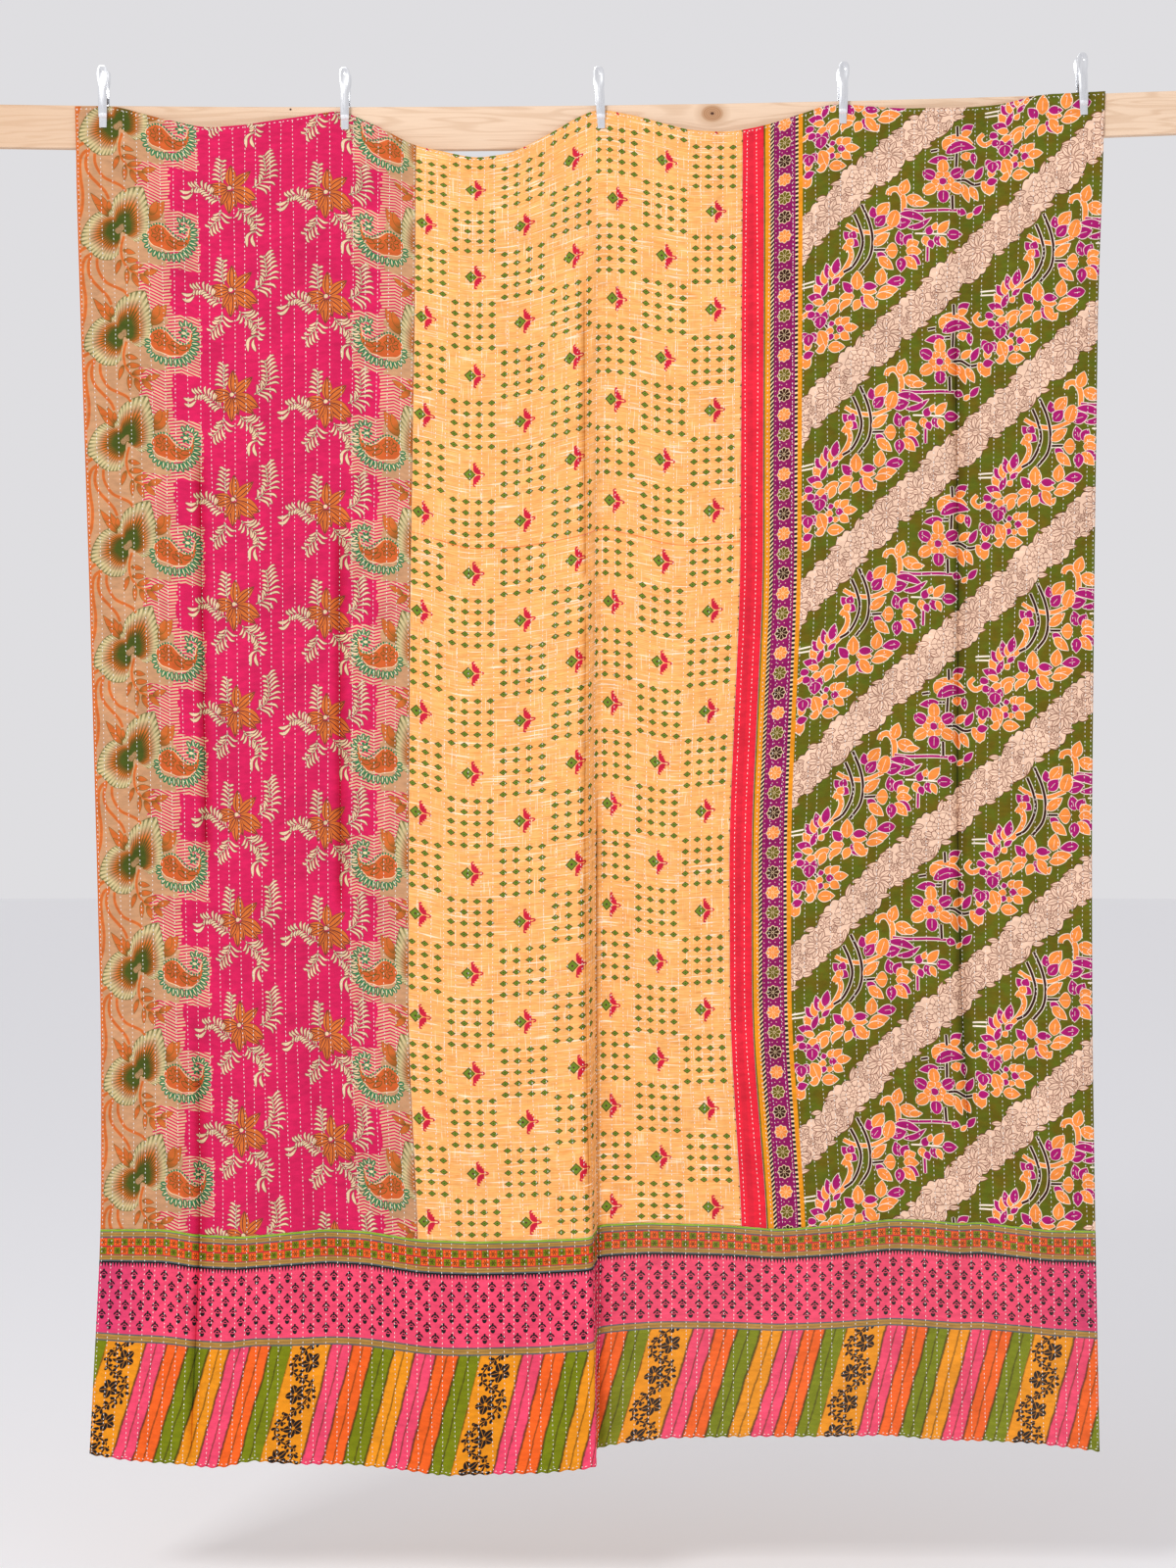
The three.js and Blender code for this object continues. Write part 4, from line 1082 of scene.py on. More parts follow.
def floral_cotton():
    """Fine printed cotton, matt: olive with outlined flowers, pale line-drawn bands and a rosette edge.
    The bands' pen lines, the rope and the blocks are drawn about half as coarse again as they are, so
    that they show."""
    material, tree, shader = finish("printed cotton, floral", 0.88, sheen=0.02, gloss=0.15)
    c = inks()
    u, v = flat_place(tree)
    right = node(tree, "SUBTRACT", u, FLORAL_LEFT)
    flat = node(tree, "CombineXYZ", right, v)
    cloud = node(tree, "TexNoise", links={"Vector": flat, "Scale": 1 / 26, "Detail": 3.0})
    colour = lay(tree, c.olive, c.fern, cloud.outputs["Fac"], edge=0.5, soft=0.12)

    for i in reversed(range(BLOOM_LAYERS)):
        depth, side, _, ink = motif(tree, f"bloom{i}")
        fill = pick(tree, ink, c.orange, c.purple, c.umber, c.ivory)
        rib = node(tree, "MINIMUM", node(tree, "SUBTRACT", 0.3, side), node(tree, "SUBTRACT", depth, 7.4))
        fill = lay(tree, fill, c.ivory, rib, soft=0.3)
        colour = lay(tree, colour, c.ivory, depth, edge=-1.1)
        colour = lay(tree, colour, fill, depth, edge=0.0)

    across = [float(part) for part in BAND_ACROSS]
    row = node(tree, "MULTIPLY_ADD", right, across[0], node(tree, "MULTIPLY", v, across[1]))
    aside = around(tree, row, BAND_STEP, BAND_START)
    run = node(tree, "MULTIPLY_ADD", right, float(BAND_RUN[0]), node(tree, "MULTIPLY", v, float(BAND_RUN[1])))
    sway = node(tree, "SINE", node(tree, "MULTIPLY", run, 2 * math.pi / BAND_SWAY))
    off = node(tree, "ABSOLUTE", node(tree, "MULTIPLY_ADD", sway, 3.0, aside))
    lobes = node(tree, "MULTIPLY_ADD", aside, 0.35, run)
    lobe = node(tree, "ABSOLUTE", node(tree, "SINE", node(tree, "MULTIPLY", lobes, math.pi / BAND_LOBE)))
    swell = node(tree, "SINE", node(tree, "MULTIPLY", lobes, 2 * math.pi / BAND_SWELL))
    wide = node(tree, "MULTIPLY_ADD", swell, 3.0, node(tree, "MULTIPLY_ADD", lobe, 4.0, 23.5))
    band = node(tree, "SUBTRACT", wide, off)
    colour = lay(tree, colour, c.umber, band, edge=-0.9)
    colour = lay(tree, colour, c.peach, band, edge=0.4)
    for i in reversed(range(LACE_LAYERS)):
        depth, side, *_ = motif(tree, f"lace{i}")
        colour = lay(tree, colour, c.sepia, depth, edge=-0.7)
        vein = node(tree, "MINIMUM", node(tree, "SUBTRACT", 0.5, side), node(tree, "SUBTRACT", depth, 1.2))
        fill = node(tree, "MixRGB", node(tree, "MapRange", vein, -0.3, 0.3, 0.0, 0.8), c.peach, c.sepia)
        colour = lay(tree, colour, fill, depth, edge=0.6)

    block = node(tree, "ABSOLUTE", around(tree, v, ROPE_STEP))
    blocks = lay(tree, c.soot, c.cream, block, edge=2.2)
    twist = node(tree, "ABSOLUTE", around(tree, node(tree, "ADD", v, right), ROPE_STEP))
    rope = lay(tree, c.soot, c.cream, twist, edge=2.4)
    prints = (c.mustard, blocks, purple_band(tree, right, v), rope, c.mustard, c.fern)
    for reach, laid in zip(EDGE_REACH, prints):
        colour = lay(tree, colour, laid, node(tree, "SUBTRACT", reach, right))
    woven(tree, shader, colour)
    return material


def purple_band(tree, right, v):
    """Purple band with a row of eight-petalled rosettes and small white dots."""
    c = inks()
    step = ROSETTE_STEP
    x = node(tree, "SUBTRACT", right, ROSETTE_ACROSS)
    v = node(tree, "SUBTRACT", v, ROSETTE_DOWN)
    y = around(tree, v, step)
    off = distance(tree, x, y)
    turn = node(tree, "ARCTAN2", y, x)
    petals = node(tree, "COSINE", node(tree, "MULTIPLY", turn, 8.0))
    aside = node(tree, "ABSOLUTE", x)
    between = distance(tree, node(tree, "SUBTRACT", aside, 4.0), around(tree, v, step, step / 2))
    beside = distance(tree, node(tree, "SUBTRACT", aside, 14.3), around(tree, v, step / 4))
    dots = node(tree, "SUBTRACT", 0.8, node(tree, "MINIMUM", between, beside))
    colour = lay(tree, c.plum_band, c.peach, dots)
    disc = node(tree, "SUBTRACT", node(tree, "MULTIPLY_ADD", petals, 0.9, ROSETTE_RADIUS), off)
    colour = lay(tree, colour, c.cream, disc)
    number = node(tree, "FLOORED_MODULO", node(tree, "FLOOR", node(
        tree, "DIVIDE", node(tree, "ADD", v, step / 2), step)), 3.0)
    ink = pick(tree, number, c.orange, c.olive, c.umber)
    petal = node(tree, "MINIMUM", node(tree, "SUBTRACT", disc, 1.3), node(tree, "SUBTRACT", off, 2.0))
    petal = node(tree, "MINIMUM", petal, node(tree, "MULTIPLY_ADD", petals, 2.4, 2.2))
    colour = lay(tree, colour, ink, petal)
    return lay(tree, colour, ink, node(tree, "SUBTRACT", 1.3, off))


def border_cotton():
    """Block-printed cotton, matt: checks, pink field with buds, slanted stripes with a black vine, and
    painted light right of its big fold.
    """
    material, tree, shader = finish("printed cotton, border", 0.88, sheen=0.02, gloss=0.15)
    c = inks()
    u, v = flat_place(tree)
    down = node(tree, "SUBTRACT", v, BORDER_SEAM_AT)
    flat = node(tree, "CombineXYZ", u, v)
    fuzz = node(tree, "TexNoise", links={"Vector": flat, "Scale": 1 / 5, "Detail": 2.0})
    wobble = node(tree, "MULTIPLY_ADD", fuzz.outputs["Fac"], 3.0, -1.5)

    slant = node(tree, "MULTIPLY_ADD", down, STRIPE_LEAN, u)
    start = STRIPE_AT[0] + STRIPE_LEAN * STRIPE_AT[1] - STRIPE_WIDE / 2
    place = node(tree, "FLOORED_MODULO", node(tree, "SUBTRACT", slant, start), STRIPE_PERIOD)
    loose = node(tree, "TexNoise", links={"Vector": flat, "Scale": 1 / 38, "Detail": 0.0})
    drift = node(tree, "MULTIPLY_ADD", loose.outputs["Fac"], 4.0, -2.0)
    place = node(tree, "ADD", place, node(tree, "ADD", wobble, drift))
    colour = c.mustard
    dark = node(tree, "SUBTRACT", 1.2, node(tree, "ABSOLUTE", place))
    for i, name in enumerate(STRIPES):
        past = node(tree, "SUBTRACT", place, STRIPE_WIDE + STRIPE_NARROW * i)
        colour = lay(tree, colour, getattr(c, name), past)
        edge = node(tree, "SUBTRACT", 1.5, node(tree, "ABSOLUTE", past))
        middle = node(tree, "ABSOLUTE", node(tree, "SUBTRACT", past, STRIPE_NARROW / 2))
        line = node(tree, "SUBTRACT", 0.7, middle)
        dark = node(tree, "MAXIMUM", dark, node(tree, "MAXIMUM", edge, line))
    shade = node(tree, "MapRange", dark, -1.6, 0.9, 0.0, 0.85)
    colour = node(tree, "MixRGB", shade, colour, c.bark)
    for i in reversed(range(VINE_LAYERS)):
        depth, side, _, ink = motif(tree, f"vine{i}")
        slit = node(tree, "MULTIPLY_ADD", node(tree, "SUBTRACT", 1.0, ink), 9.0, node(
            tree, "SUBTRACT", side, 0.3))
        colour = lay(tree, colour, c.mustard, depth, edge=-0.4)
        colour = lay(tree, colour, c.soot, node(tree, "MINIMUM", depth, slit))

    colour = gold_band(tree, colour, down, *GOLD_BANDS[0])
    ends = node(tree, "MINIMUM", u, node(tree, "SUBTRACT", WIDTH, u))
    faded = node(tree, "MapRange", node(tree, "MULTIPLY_ADD", wobble, 12.0, ends), 20.0, 130.0, 0.35, 0.0)
    pink = node(tree, "MixRGB", faded, c.rose, c.purple)
    colour = lay(tree, colour, bud_print(tree, pink, u, down), node(tree, "SUBTRACT", GOLD_BANDS[0][0], down))
    tooth = node(tree, "ABSOLUTE", around(tree, u, COMB_TOOTH))
    comb = node(tree, "SUBTRACT", node(tree, "MULTIPLY_ADD", tooth, -4.0, COMB_TIPS), down)
    comb = node(tree, "MAXIMUM", comb, node(tree, "SUBTRACT", COMB_FOOT, down))
    colour = lay(tree, colour, c.soot, comb)
    colour = gold_band(tree, colour, down, *GOLD_BANDS[1])
    colour = lay(tree, colour, check_print(tree, u, down), node(tree, "SUBTRACT", CHECKS_BOTTOM, down))
    colour = gold_band(tree, colour, down, *GOLD_BANDS[2])
    colour = lay(tree, colour, c.lime, node(tree, "SUBTRACT", LIME_BOTTOM, down))
    # Right of the big fold the colour is lightened a little toward the pale slub colour: painted light.
    colour = node(tree, "MixRGB", node(tree, "MapRange", u, 880.0, 930.0, 0.0, 0.02), colour, c.slub)
    woven(tree, shader, colour)
    return material


def gold_band(tree, ground, down, top, bottom):
    """A narrow ochre band with grey-blue edges."""
    c = inks()
    colour = lay(tree, ground, c.slate, node(tree, "SUBTRACT", bottom, down))
    colour = lay(tree, colour, c.ochre, node(tree, "SUBTRACT", bottom - GOLD_EDGE, down))
    off = node(tree, "ABSOLUTE", node(tree, "SUBTRACT", down, (top + bottom) / 2))
    colour = node(tree, "MixRGB", node(tree, "MapRange", off, 0.2, 1.2, 0.35, 0.0), colour, c.bark)
    return lay(tree, colour, c.slate, node(tree, "SUBTRACT", top + GOLD_EDGE, down))


def check_print(tree, u, down):
    """Two rows of small squares, orange and green in turn, each with a dark star."""
    c = inks()
    wide, tall, top = CHECK_WIDE, CHECK_TALL, CHECK_TOP
    column = node(tree, "FLOOR", node(tree, "DIVIDE", u, wide))
    row = node(tree, "FLOOR", node(tree, "DIVIDE", node(tree, "SUBTRACT", down, top), tall))
    odd = node(tree, "FLOORED_MODULO", node(tree, "ADD", column, row), 2.0)
    colour = pick(tree, odd, c.tangerine, c.grass)
    x = around(tree, u, wide, wide / 2)
    y = around(tree, down, tall, top + tall / 2)
    turn = node(tree, "COSINE", node(tree, "MULTIPLY", node(tree, "ARCTAN2", y, x), 6.0))
    star = node(tree, "SUBTRACT", node(tree, "MULTIPLY_ADD", turn, 2.4, 2.7), distance(tree, x, y))
    colour = lay(tree, colour, c.bark, star)
    edge = node(tree, "MAXIMUM", node(tree, "ABSOLUTE", x), node(tree, "ABSOLUTE", y))
    return lay(tree, colour, c.deep_red, node(tree, "SUBTRACT", edge, 5.7))


def bud_print(tree, ground, u, down):
    """Rows of small black buds: a round bulb under three leaves."""
    c = inks()
    wide, tall, top = BUD_WIDE, BUD_TALL, BUD_TOP
    row = node(tree, "FLOOR", node(tree, "DIVIDE", node(tree, "SUBTRACT", down, top), tall))
    odd = node(tree, "FLOORED_MODULO", row, 2.0)
    x = node(tree, "MULTIPLY", around(tree, node(tree, "MULTIPLY_ADD", odd, wide / 2, u), wide, 9.0), 1.2)
    y = node(tree, "MULTIPLY", around(tree, down, tall, top + tall / 2), 0.95)
    aside = node(tree, "ABSOLUTE", x)
    bulb = node(tree, "SUBTRACT", 4.6, distance(tree, x, node(tree, "SUBTRACT", y, 3.2)))
    nick = distance(tree, x, node(tree, "ADD", y, 5.0))
    nick = node(tree, "SUBTRACT", node(tree, "ABSOLUTE", node(tree, "SUBTRACT", nick, 6.8)), 0.6)
    bulb = node(tree, "MINIMUM", bulb, nick)
    tip = distance(tree, node(tree, "MULTIPLY", x, 1.5), node(tree, "ADD", y, 5.4))
    rise = node(tree, "MULTIPLY_ADD", aside, -0.6, node(tree, "ADD", y, 5.0))
    leaf = distance(tree, node(tree, "SUBTRACT", aside, 4.8), node(tree, "MULTIPLY", rise, 1.7))
    crown = node(tree, "SUBTRACT", 3.3, node(tree, "MINIMUM", tip, leaf))
    bud = node(tree, "MAXIMUM", bulb, crown)
    off = node(tree, "ABSOLUTE", node(tree, "SUBTRACT", down, top + 3 * tall))
    return lay(tree, ground, c.soot, node(tree, "MINIMUM", bud, node(tree, "SUBTRACT", 3 * tall, off)))


# Pieces

def show(name, mesh, *materials):
    """An object at the origin for a mesh, with its materials, that moves with the part."""
    piece = bpy.data.objects.new(name, mesh)
    bpy.context.scene.collection.objects.link(piece)
    for material in materials:
        mesh.materials.append(material)
    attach(piece, "root")
    return piece


def make_sheet(name, edges, cells):
    """A thin closed sheet on the drape. Its face is fine and its back coarser, with one rim between them."""
    left, right, top, bottom = edges
    bm = bmesh.new()
    bmesh.ops.create_grid(bm, x_segments=cells[0], y_segments=cells[1], size=0.5)
    front = set(bm.faces)
    under = Matrix.Translation((0, 0, -1))
    bmesh.ops.create_grid(bm, x_segments=cells[0] // 3, y_segments=cells[1] // 5, size=0.5, matrix=under)
    back = [f for f in bm.faces if f not in front]
    rim = {e for f in back for e in f.edges if e.is_boundary}
    level = [e for e in rim if abs(e.verts[0].co.y - e.verts[1].co.y) < 1e-6]
    upright = [e for e in rim if abs(e.verts[0].co.x - e.verts[1].co.x) < 1e-6]
    bmesh.ops.subdivide_edges(bm, edges=level, cuts=2)
    bmesh.ops.subdivide_edges(bm, edges=upright, cuts=4)
    bmesh.ops.bridge_loops(bm, edges=[e for e in bm.edges if e.is_boundary])
    bmesh.ops.recalc_face_normals(bm, faces=bm.faces)
    for f in bm.faces:
        f.material_index = int(all(v.co.z < -0.5 for v in f.verts))
        f.smooth = True
    mesh = bpy.data.meshes.new(name)
    bm.to_mesh(mesh)
    bm.free()

    grid = np.empty(len(mesh.vertices) * 3, np.float32)
    mesh.vertices.foreach_get("co", grid)
    grid = grid.reshape(-1, 3).astype(float)
    u = left + (grid[:, 0] + 0.5) * (right - left)
    v = top + (0.5 - grid[:, 1]) * (bottom - top)
    side = np.where(grid[:, 2] > -0.5, 1.0, -1.0)
    mesh.vertices.foreach_set("co", (on_face(u, v, side) * MM).astype(np.float32).ravel())
    corner = np.empty(len(mesh.loops), np.int32)
    mesh.loops.foreach_get("vertex_index", corner)
    flat = np.column_stack((u, v))
    layer = mesh.uv_layers.new(name="flat")
    layer.uv.foreach_set("vector", (flat[corner] * MM).astype(np.float32).ravel())
    mesh.update()
    # The distance to the nearest pressed fold and its depth, which the material uses for its painted fold
    # shade.
    *_, nearest, deep = creases(u, v)
    keep_field(mesh, "crease", np.column_stack((nearest, deep, np.zeros_like(deep))))
    return mesh, flat


def keep_field(mesh, name, values, domain="POINT"):
    """Keeps a vector for each point, corner or face of a mesh, for its material to read."""
    kept = mesh.attributes.new(name, "FLOAT_VECTOR", domain)
    kept.data.foreach_set("vector", values.astype(np.float32).ravel())


CLOTHS = {
    "paisley_panel": (0, 563, 0, BORDER_SEAM_AT, 168, 525),
    "dotted_panel": (563, 1132, 0, BORDER_SEAM_AT, 168, 525),
    "red_strip": (1132, 1172, 0, BORDER_SEAM_AT, 12, 400),
    "floral_panel": (1172, 1735, 0, BORDER_SEAM_AT, 168, 525),
    "border_panel": (0, 1735, BORDER_SEAM_AT, LENGTH, 516, 105),
}


def hang(name, cloth, back):
    """One cloth of the quilt, in place of its plain solid."""
    left, right, top, bottom, across, down = CLOTHS[name]
    edges = (left + SEAM_GAP, right - SEAM_GAP, top, bottom - SEAM_GAP)
    if top:
        edges = (left, right, top + SEAM_GAP, bottom)
    mesh, flat = make_sheet(name + "_cloth", edges, (across, down))
    piece = show(name + "_cloth", mesh, cloth, back)
    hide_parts(name)
    return mesh, flat


def quilt_back():
    """Plain woven cotton on the back, matt, with running stitch in the rows of the front's."""
    material = bpy.data.materials.get("plain cotton back")
    if material:
        return material
    material, tree, shader = finish("plain cotton back", 0.9, sheen=0.05, gloss=0.2)
    c, s = inks(), sizes()
    u, v = flat_place(tree)
    place = u
    for far, across, down, start in WANDER:
        wave = node(tree, "MULTIPLY_ADD", u, across, node(tree, "MULTIPLY_ADD", v, down, start))
        place = node(tree, "MULTIPLY_ADD", node(tree, "SINE", wave), far, place)
    row = node(tree, "ABSOLUTE", around(tree, place, s.row_pitch / MM))
    step = node(tree, "ABSOLUTE", around(tree, v, s.stitch_pitch / MM))
    stitch = node(tree, "MINIMUM", node(tree, "SUBTRACT", s.stitch_width / MM / 2, row), node(
        tree, "SUBTRACT", s.stitch_length / MM / 2, step))
    woven(tree, shader, lay(tree, c.backing, c.thread, stitch))
    return material


class QUILT_OT_paisley_panel(bpy.types.Operator):
    """Left cloth: pink field with flowers and tan paisley edges"""

    bl_idname = "quilt.paisley_panel"
    bl_label = "Paisley panel"

    def execute(self, context):
        mesh, flat = hang("paisley_panel", paisley_cotton(), quilt_back())
        print_paisley(mesh, flat)
        return {"FINISHED"}


class QUILT_OT_dotted_panel(bpy.types.Operator):
    """Middle cloth: yellow-orange with dots and small winged diamonds"""

    bl_idname = "quilt.dotted_panel"
    bl_label = "Dotted panel"

    def execute(self, context):
        mesh, flat = hang("dotted_panel", dotted_cotton(), quilt_back())
        print_dotted(mesh, flat)
        return {"FINISHED"}


class QUILT_OT_red_strip(bpy.types.Operator):
    """Narrow plain red strip"""

    bl_idname = "quilt.red_strip"
    bl_label = "Red strip"

    def execute(self, context):
        hang("red_strip", red_cotton(), quilt_back())
        return {"FINISHED"}


class QUILT_OT_floral_panel(bpy.types.Operator):
    """Right cloth: olive with flowers, pale slanting bands and a rosette band"""

    bl_idname = "quilt.floral_panel"
    bl_label = "Floral panel"

    def execute(self, context):
        mesh, flat = hang("floral_panel", floral_cotton(), quilt_back())
        print_floral(mesh, flat)
        return {"FINISHED"}


class QUILT_OT_border_panel(bpy.types.Operator):
    """Bottom cloth: checks, pink field with buds, slanted stripes"""

    bl_idname = "quilt.border_panel"
    bl_label = "Border"

    def execute(self, context):
        mesh, flat = hang("border_panel", border_cotton(), quilt_back())
        print_border(mesh, flat)
        return {"FINISHED"}


# Running stitch in millimetres: how near it comes to a cloth's edges, and how far a hand strays in sewing it.

SEAM_CLEAR, END_CLEAR, LAST_STITCH, SIDE_CLEAR = 3, 4, 3, 2.5
SIDE_ROW, HEM_ROW = 3.5, 4.5
STITCH_SLIP, ROW_SLIP, STITCH_STRAY, STITCH_LEAN = 1.1, 3.5, 0.25, 0.12
STITCH_LENGTHS = (0.8, 1.15)
STITCH_HALF_HIGH, STITCH_LIFT = 0.5, 0.1
STITCH_SEED = 7


def stitch_shape():
    """One stitch as a small bead of thread: its points and faces."""
    bm = bmesh.new()
    bmesh.ops.create_uvsphere(bm, u_segments=4, v_segments=2, radius=1.0)
    bmesh.ops.triangulate(bm, faces=bm.faces)
    points = np.array([v.co for v in bm.verts])
    faces = np.array([[v.index for v in f.verts] for f in bm.faces])
    bm.free()
    return points, faces


def cotton_thread():
    """Spun cotton thread, matt and soft white, a little yellowed in places. Its twist is drawn about
    twice as coarse as it is, so that it shows."""
    material, tree, shader = finish("cotton thread", 0.8, sheen=0.1)
    c = inks()
    metres = node(tree, "TexCoord").outputs["Object"]
    aged = node(tree, "TexNoise", links={"Vector": metres, "Scale": 1000 / 45, "Detail": 2.0})
    share = node(tree, "MapRange", aged.outputs["Fac"], 0.35, 0.7, 0.0, 0.3)
    tree.links.new(node(tree, "MixRGB", share, c.thread, c.slub).outputs[0], shader.inputs["Base Color"])
    twist = node(tree, "TexNoise", links={"Vector": metres, "Scale": 1000 / 0.8, "Detail": 1.0})
    bump = node(tree, "Bump", links={"Strength": 0.2, "Distance": 0.0003, "Height": twist.outputs["Fac"]})
    tree.links.new(bump.outputs["Normal"], shader.inputs["Normal"])
    return material


class QUILT_OT_stitches(bpy.types.Operator):
    """Rows of white running stitch down each cloth"""

    bl_idname = "quilt.stitches"
    bl_label = "Running stitch"

    def execute(self, context):
        s = sizes()
        pitch, step = s.row_pitch / MM, s.stitch_pitch / MM
        half = np.array((s.stitch_width / MM / 2, s.stitch_length / MM / 2, STITCH_HALF_HIGH))
        shape, faces = stitch_shape()
        thread = cotton_thread()
        for name, (left, right, top, bottom, *_) in CLOTHS.items():
            chance = np.random.default_rng(STITCH_SEED + left + int(top))
            first, last = math.ceil((left + SEAM_CLEAR) / pitch), math.floor((right - SEAM_CLEAR) / pitch)
            rows = np.arange(first, last + 1) * pitch
            sides = [u for u, edge in ((SIDE_ROW, left == 0), (WIDTH - SIDE_ROW, right == WIDTH)) if edge]
            downs = np.arange(top + END_CLEAR, bottom - END_CLEAR, step)
            u, v = (a.ravel() for a in np.meshgrid([*rows, *sides], downs, indexing="ij"))
            v = v + chance.uniform(-STITCH_SLIP, STITCH_SLIP, v.size)
            v = v + np.repeat(chance.uniform(0, ROW_SLIP, u.size // downs.size), downs.size)
            v = np.clip(v, top + LAST_STITCH, bottom - LAST_STITCH)
            inner = np.abs(u - WIDTH / 2) < WIDTH / 2 - END_CLEAR
            u = u - wander(u, v) * inner + chance.uniform(-STITCH_STRAY, STITCH_STRAY, u.size)
            level = np.arange(left + END_CLEAR, right - END_CLEAR, step)
            turned = np.arange(u.size + level.size) >= u.size
            u = np.append(u, level + chance.uniform(-STITCH_SLIP, STITCH_SLIP, level.size))
            v = np.append(v, np.full(level.size, bottom - HEM_ROW if top else HEM_ROW))
            u = np.clip(u, left + SIDE_CLEAR, right - SIDE_CLEAR)
            long = chance.uniform(*STITCH_LENGTHS, u.size)
            across, down, out = slopes(u, v)
            across[turned], down[turned] = -down[turned], across[turned].copy()
            lean = chance.uniform(-STITCH_LEAN, STITCH_LEAN, u.size)[:, None]
            down = down + across * lean
            centre = on_face(u, v, np.ones_like(u)) + out * STITCH_LIFT
            points = (
                centre[:, None]
                + across[:, None] * (shape[None, :, 0, None] * half[0])
                + down[:, None] * (shape[None, :, 2, None] * half[1] * long[:, None, None])
                + out[:, None] * (shape[None, :, 1, None] * half[2])
            )
            mesh = bpy.data.meshes.new(name + "_stitches")
            corners = faces[None] + (np.arange(u.size) * len(shape))[:, None, None]
            mesh.from_pydata((points * MM).reshape(-1, 3), [], corners.reshape(-1, 3))
            mesh.shade_smooth()
            show(name + "_stitches", mesh, thread)
        return {"FINISHED"}


# The rail's knot and old nail holes, across and up its face in millimetres.

KNOT_AT = (203.0, 22.0)
NAIL_HOLES = ((-486.0, 28.5), (58.0, 40.5), (333.0, 42.5))


def planed_pine():
    """Planed pine, unfinished: pale, dull, with long flame grain, a knot and fine pores, and painted shade
    toward its left end.
    """
    wood, tree, shader = finish("planed pine", 0.65, gloss=0.25)
    c = inks()
    metres = node(tree, "TexCoord").outputs["Object"]
    place = node(tree, "VectorMath:SCALE", metres, links={"Scale": 1000.0})
    x, y, z = node(tree, "SeparateXYZ", place).outputs
    knot = [node(tree, "SUBTRACT", x, KNOT_AT[0]), node(tree, "SUBTRACT", z, KNOT_AT[1])]
    away = distance(tree, node(tree, "MULTIPLY", knot[0], 0.75), knot[1])
    push = node(tree, "DIVIDE", node(tree, "MULTIPLY", knot[1], 34.0), node(
        tree, "MULTIPLY_ADD", away, away, 500.0))
    bent = node(tree, "MULTIPLY_ADD", push, -14.0, z)
    long = node(tree, "CombineXYZ", node(tree, "DIVIDE", x, 420.0), node(tree, "DIVIDE", y, 30.0), node(
        tree, "DIVIDE", bent, 30.0))
    flame = node(tree, "TexNoise", links={"Vector": long, "Scale": 1.0, "Detail": 2.0, "Distortion": 0.4})
    rings = node(tree, "SINE", node(tree, "MULTIPLY", flame.outputs["Fac"], 62.0))
    late = node(tree, "MULTIPLY", node(tree, "MapRange", rings, 0.1, 1.0, 0.0, 1.0), 0.35)
    # Darker toward the rail's left end: painted shade.
    end = node(tree, "MapRange", x, -960.0, -420.0, 0.45, 0.0)
    colour = node(tree, "MixRGB", end, c.pine, c.pine_dark)
    colour = node(tree, "MixRGB", late, colour, c.pine_dark)
    fine = node(tree, "CombineXYZ", node(tree, "DIVIDE", x, 90.0), y, node(tree, "DIVIDE", z, 1.6))
    pores = node(tree, "TexNoise", links={"Vector": fine, "Scale": 1.0, "Detail": 1.0})
    dark = node(tree, "MapRange", pores.outputs["Fac"], 0.5, 0.8, 0.0, 0.35)
    colour = node(tree, "MixRGB", dark, colour, c.pine_dark)
    halo = node(tree, "MapRange", away, 12.0, 24.0, 0.7, 0.0)
    colour = node(tree, "MixRGB", halo, colour, c.pine_dark)
    grown = node(tree, "SINE", node(tree, "MULTIPLY", away, 2.4))
    heart = node(tree, "MixRGB", node(tree, "MapRange", grown, -1.0, 1.0, 0.1, 0.8), c.knot, c.pine_dark)
    colour = lay(tree, colour, heart, node(tree, "SUBTRACT", 12.5, away), soft=2.0)
    colour = lay(tree, colour, c.umber, node(tree, "SUBTRACT", 2.2, away), soft=1.2)
    for across, up in NAIL_HOLES:
        off = distance(tree, node(tree, "SUBTRACT", x, across), node(tree, "SUBTRACT", z, up))
        colour = lay(tree, colour, c.umber, node(tree, "SUBTRACT", 1.8, off))
    tree.links.new(colour.outputs[0], shader.inputs["Base Color"])
    bump = node(tree, "Bump", links={"Strength": 0.15, "Distance": 0.001, "Height": pores.outputs["Fac"]})
    tree.links.new(bump.outputs["Normal"], shader.inputs["Normal"])
    return wood


class QUILT_OT_rail(bpy.types.Operator):
    """Planed pine rail"""

    bl_idname = "quilt.rail"
    bl_label = "Rail"

    def execute(self, context):
        wood = planed_pine()
        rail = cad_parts["rail"]
        rail.data.materials.clear()
        rail.data.materials.append(wood)
        return {"FINISHED"}


def steel(name, roughness, colour, shade):
    """Steel that is drawn lengthwise: bright, with faint upright streaks that are a little darker and
    duller."""
    metal, tree, shader = finish(name, roughness, metallic=1.0)
    metres = node(tree, "TexCoord").outputs["Object"]
    place = node(tree, "VectorMath:MULTIPLY", metres, (700.0, 700.0, 30.0))
    streak = node(tree, "TexNoise", links={"Vector": place, "Scale": 1.0, "Detail": 2.0})
    share = node(tree, "MapRange", streak.outputs["Fac"], 0.4, 0.7, 0.0, 0.3)
    tree.links.new(node(tree, "MixRGB", share, colour, shade).outputs[0], shader.inputs["Base Color"])
    dull = node(tree, "MapRange", streak.outputs["Fac"], 0.3, 0.7, roughness - 0.05, roughness + 0.1)
    tree.links.new(dull.outputs[0], shader.inputs["Roughness"])
    return metal


# The clips' ribs, beside the middle of an arm and along its height, and their rolled edges.

RIB_AT = (-2.2, 2.2)
RIB_REACH = np.linspace(0.3, 0.72, 14)
RIB_RADIUS = 0.55 * MM
RIB_SIDES = 6
RIB_TIP = 0.3
EDGE_ROLL = 0.2 * MM
SHARP = math.radians(50)


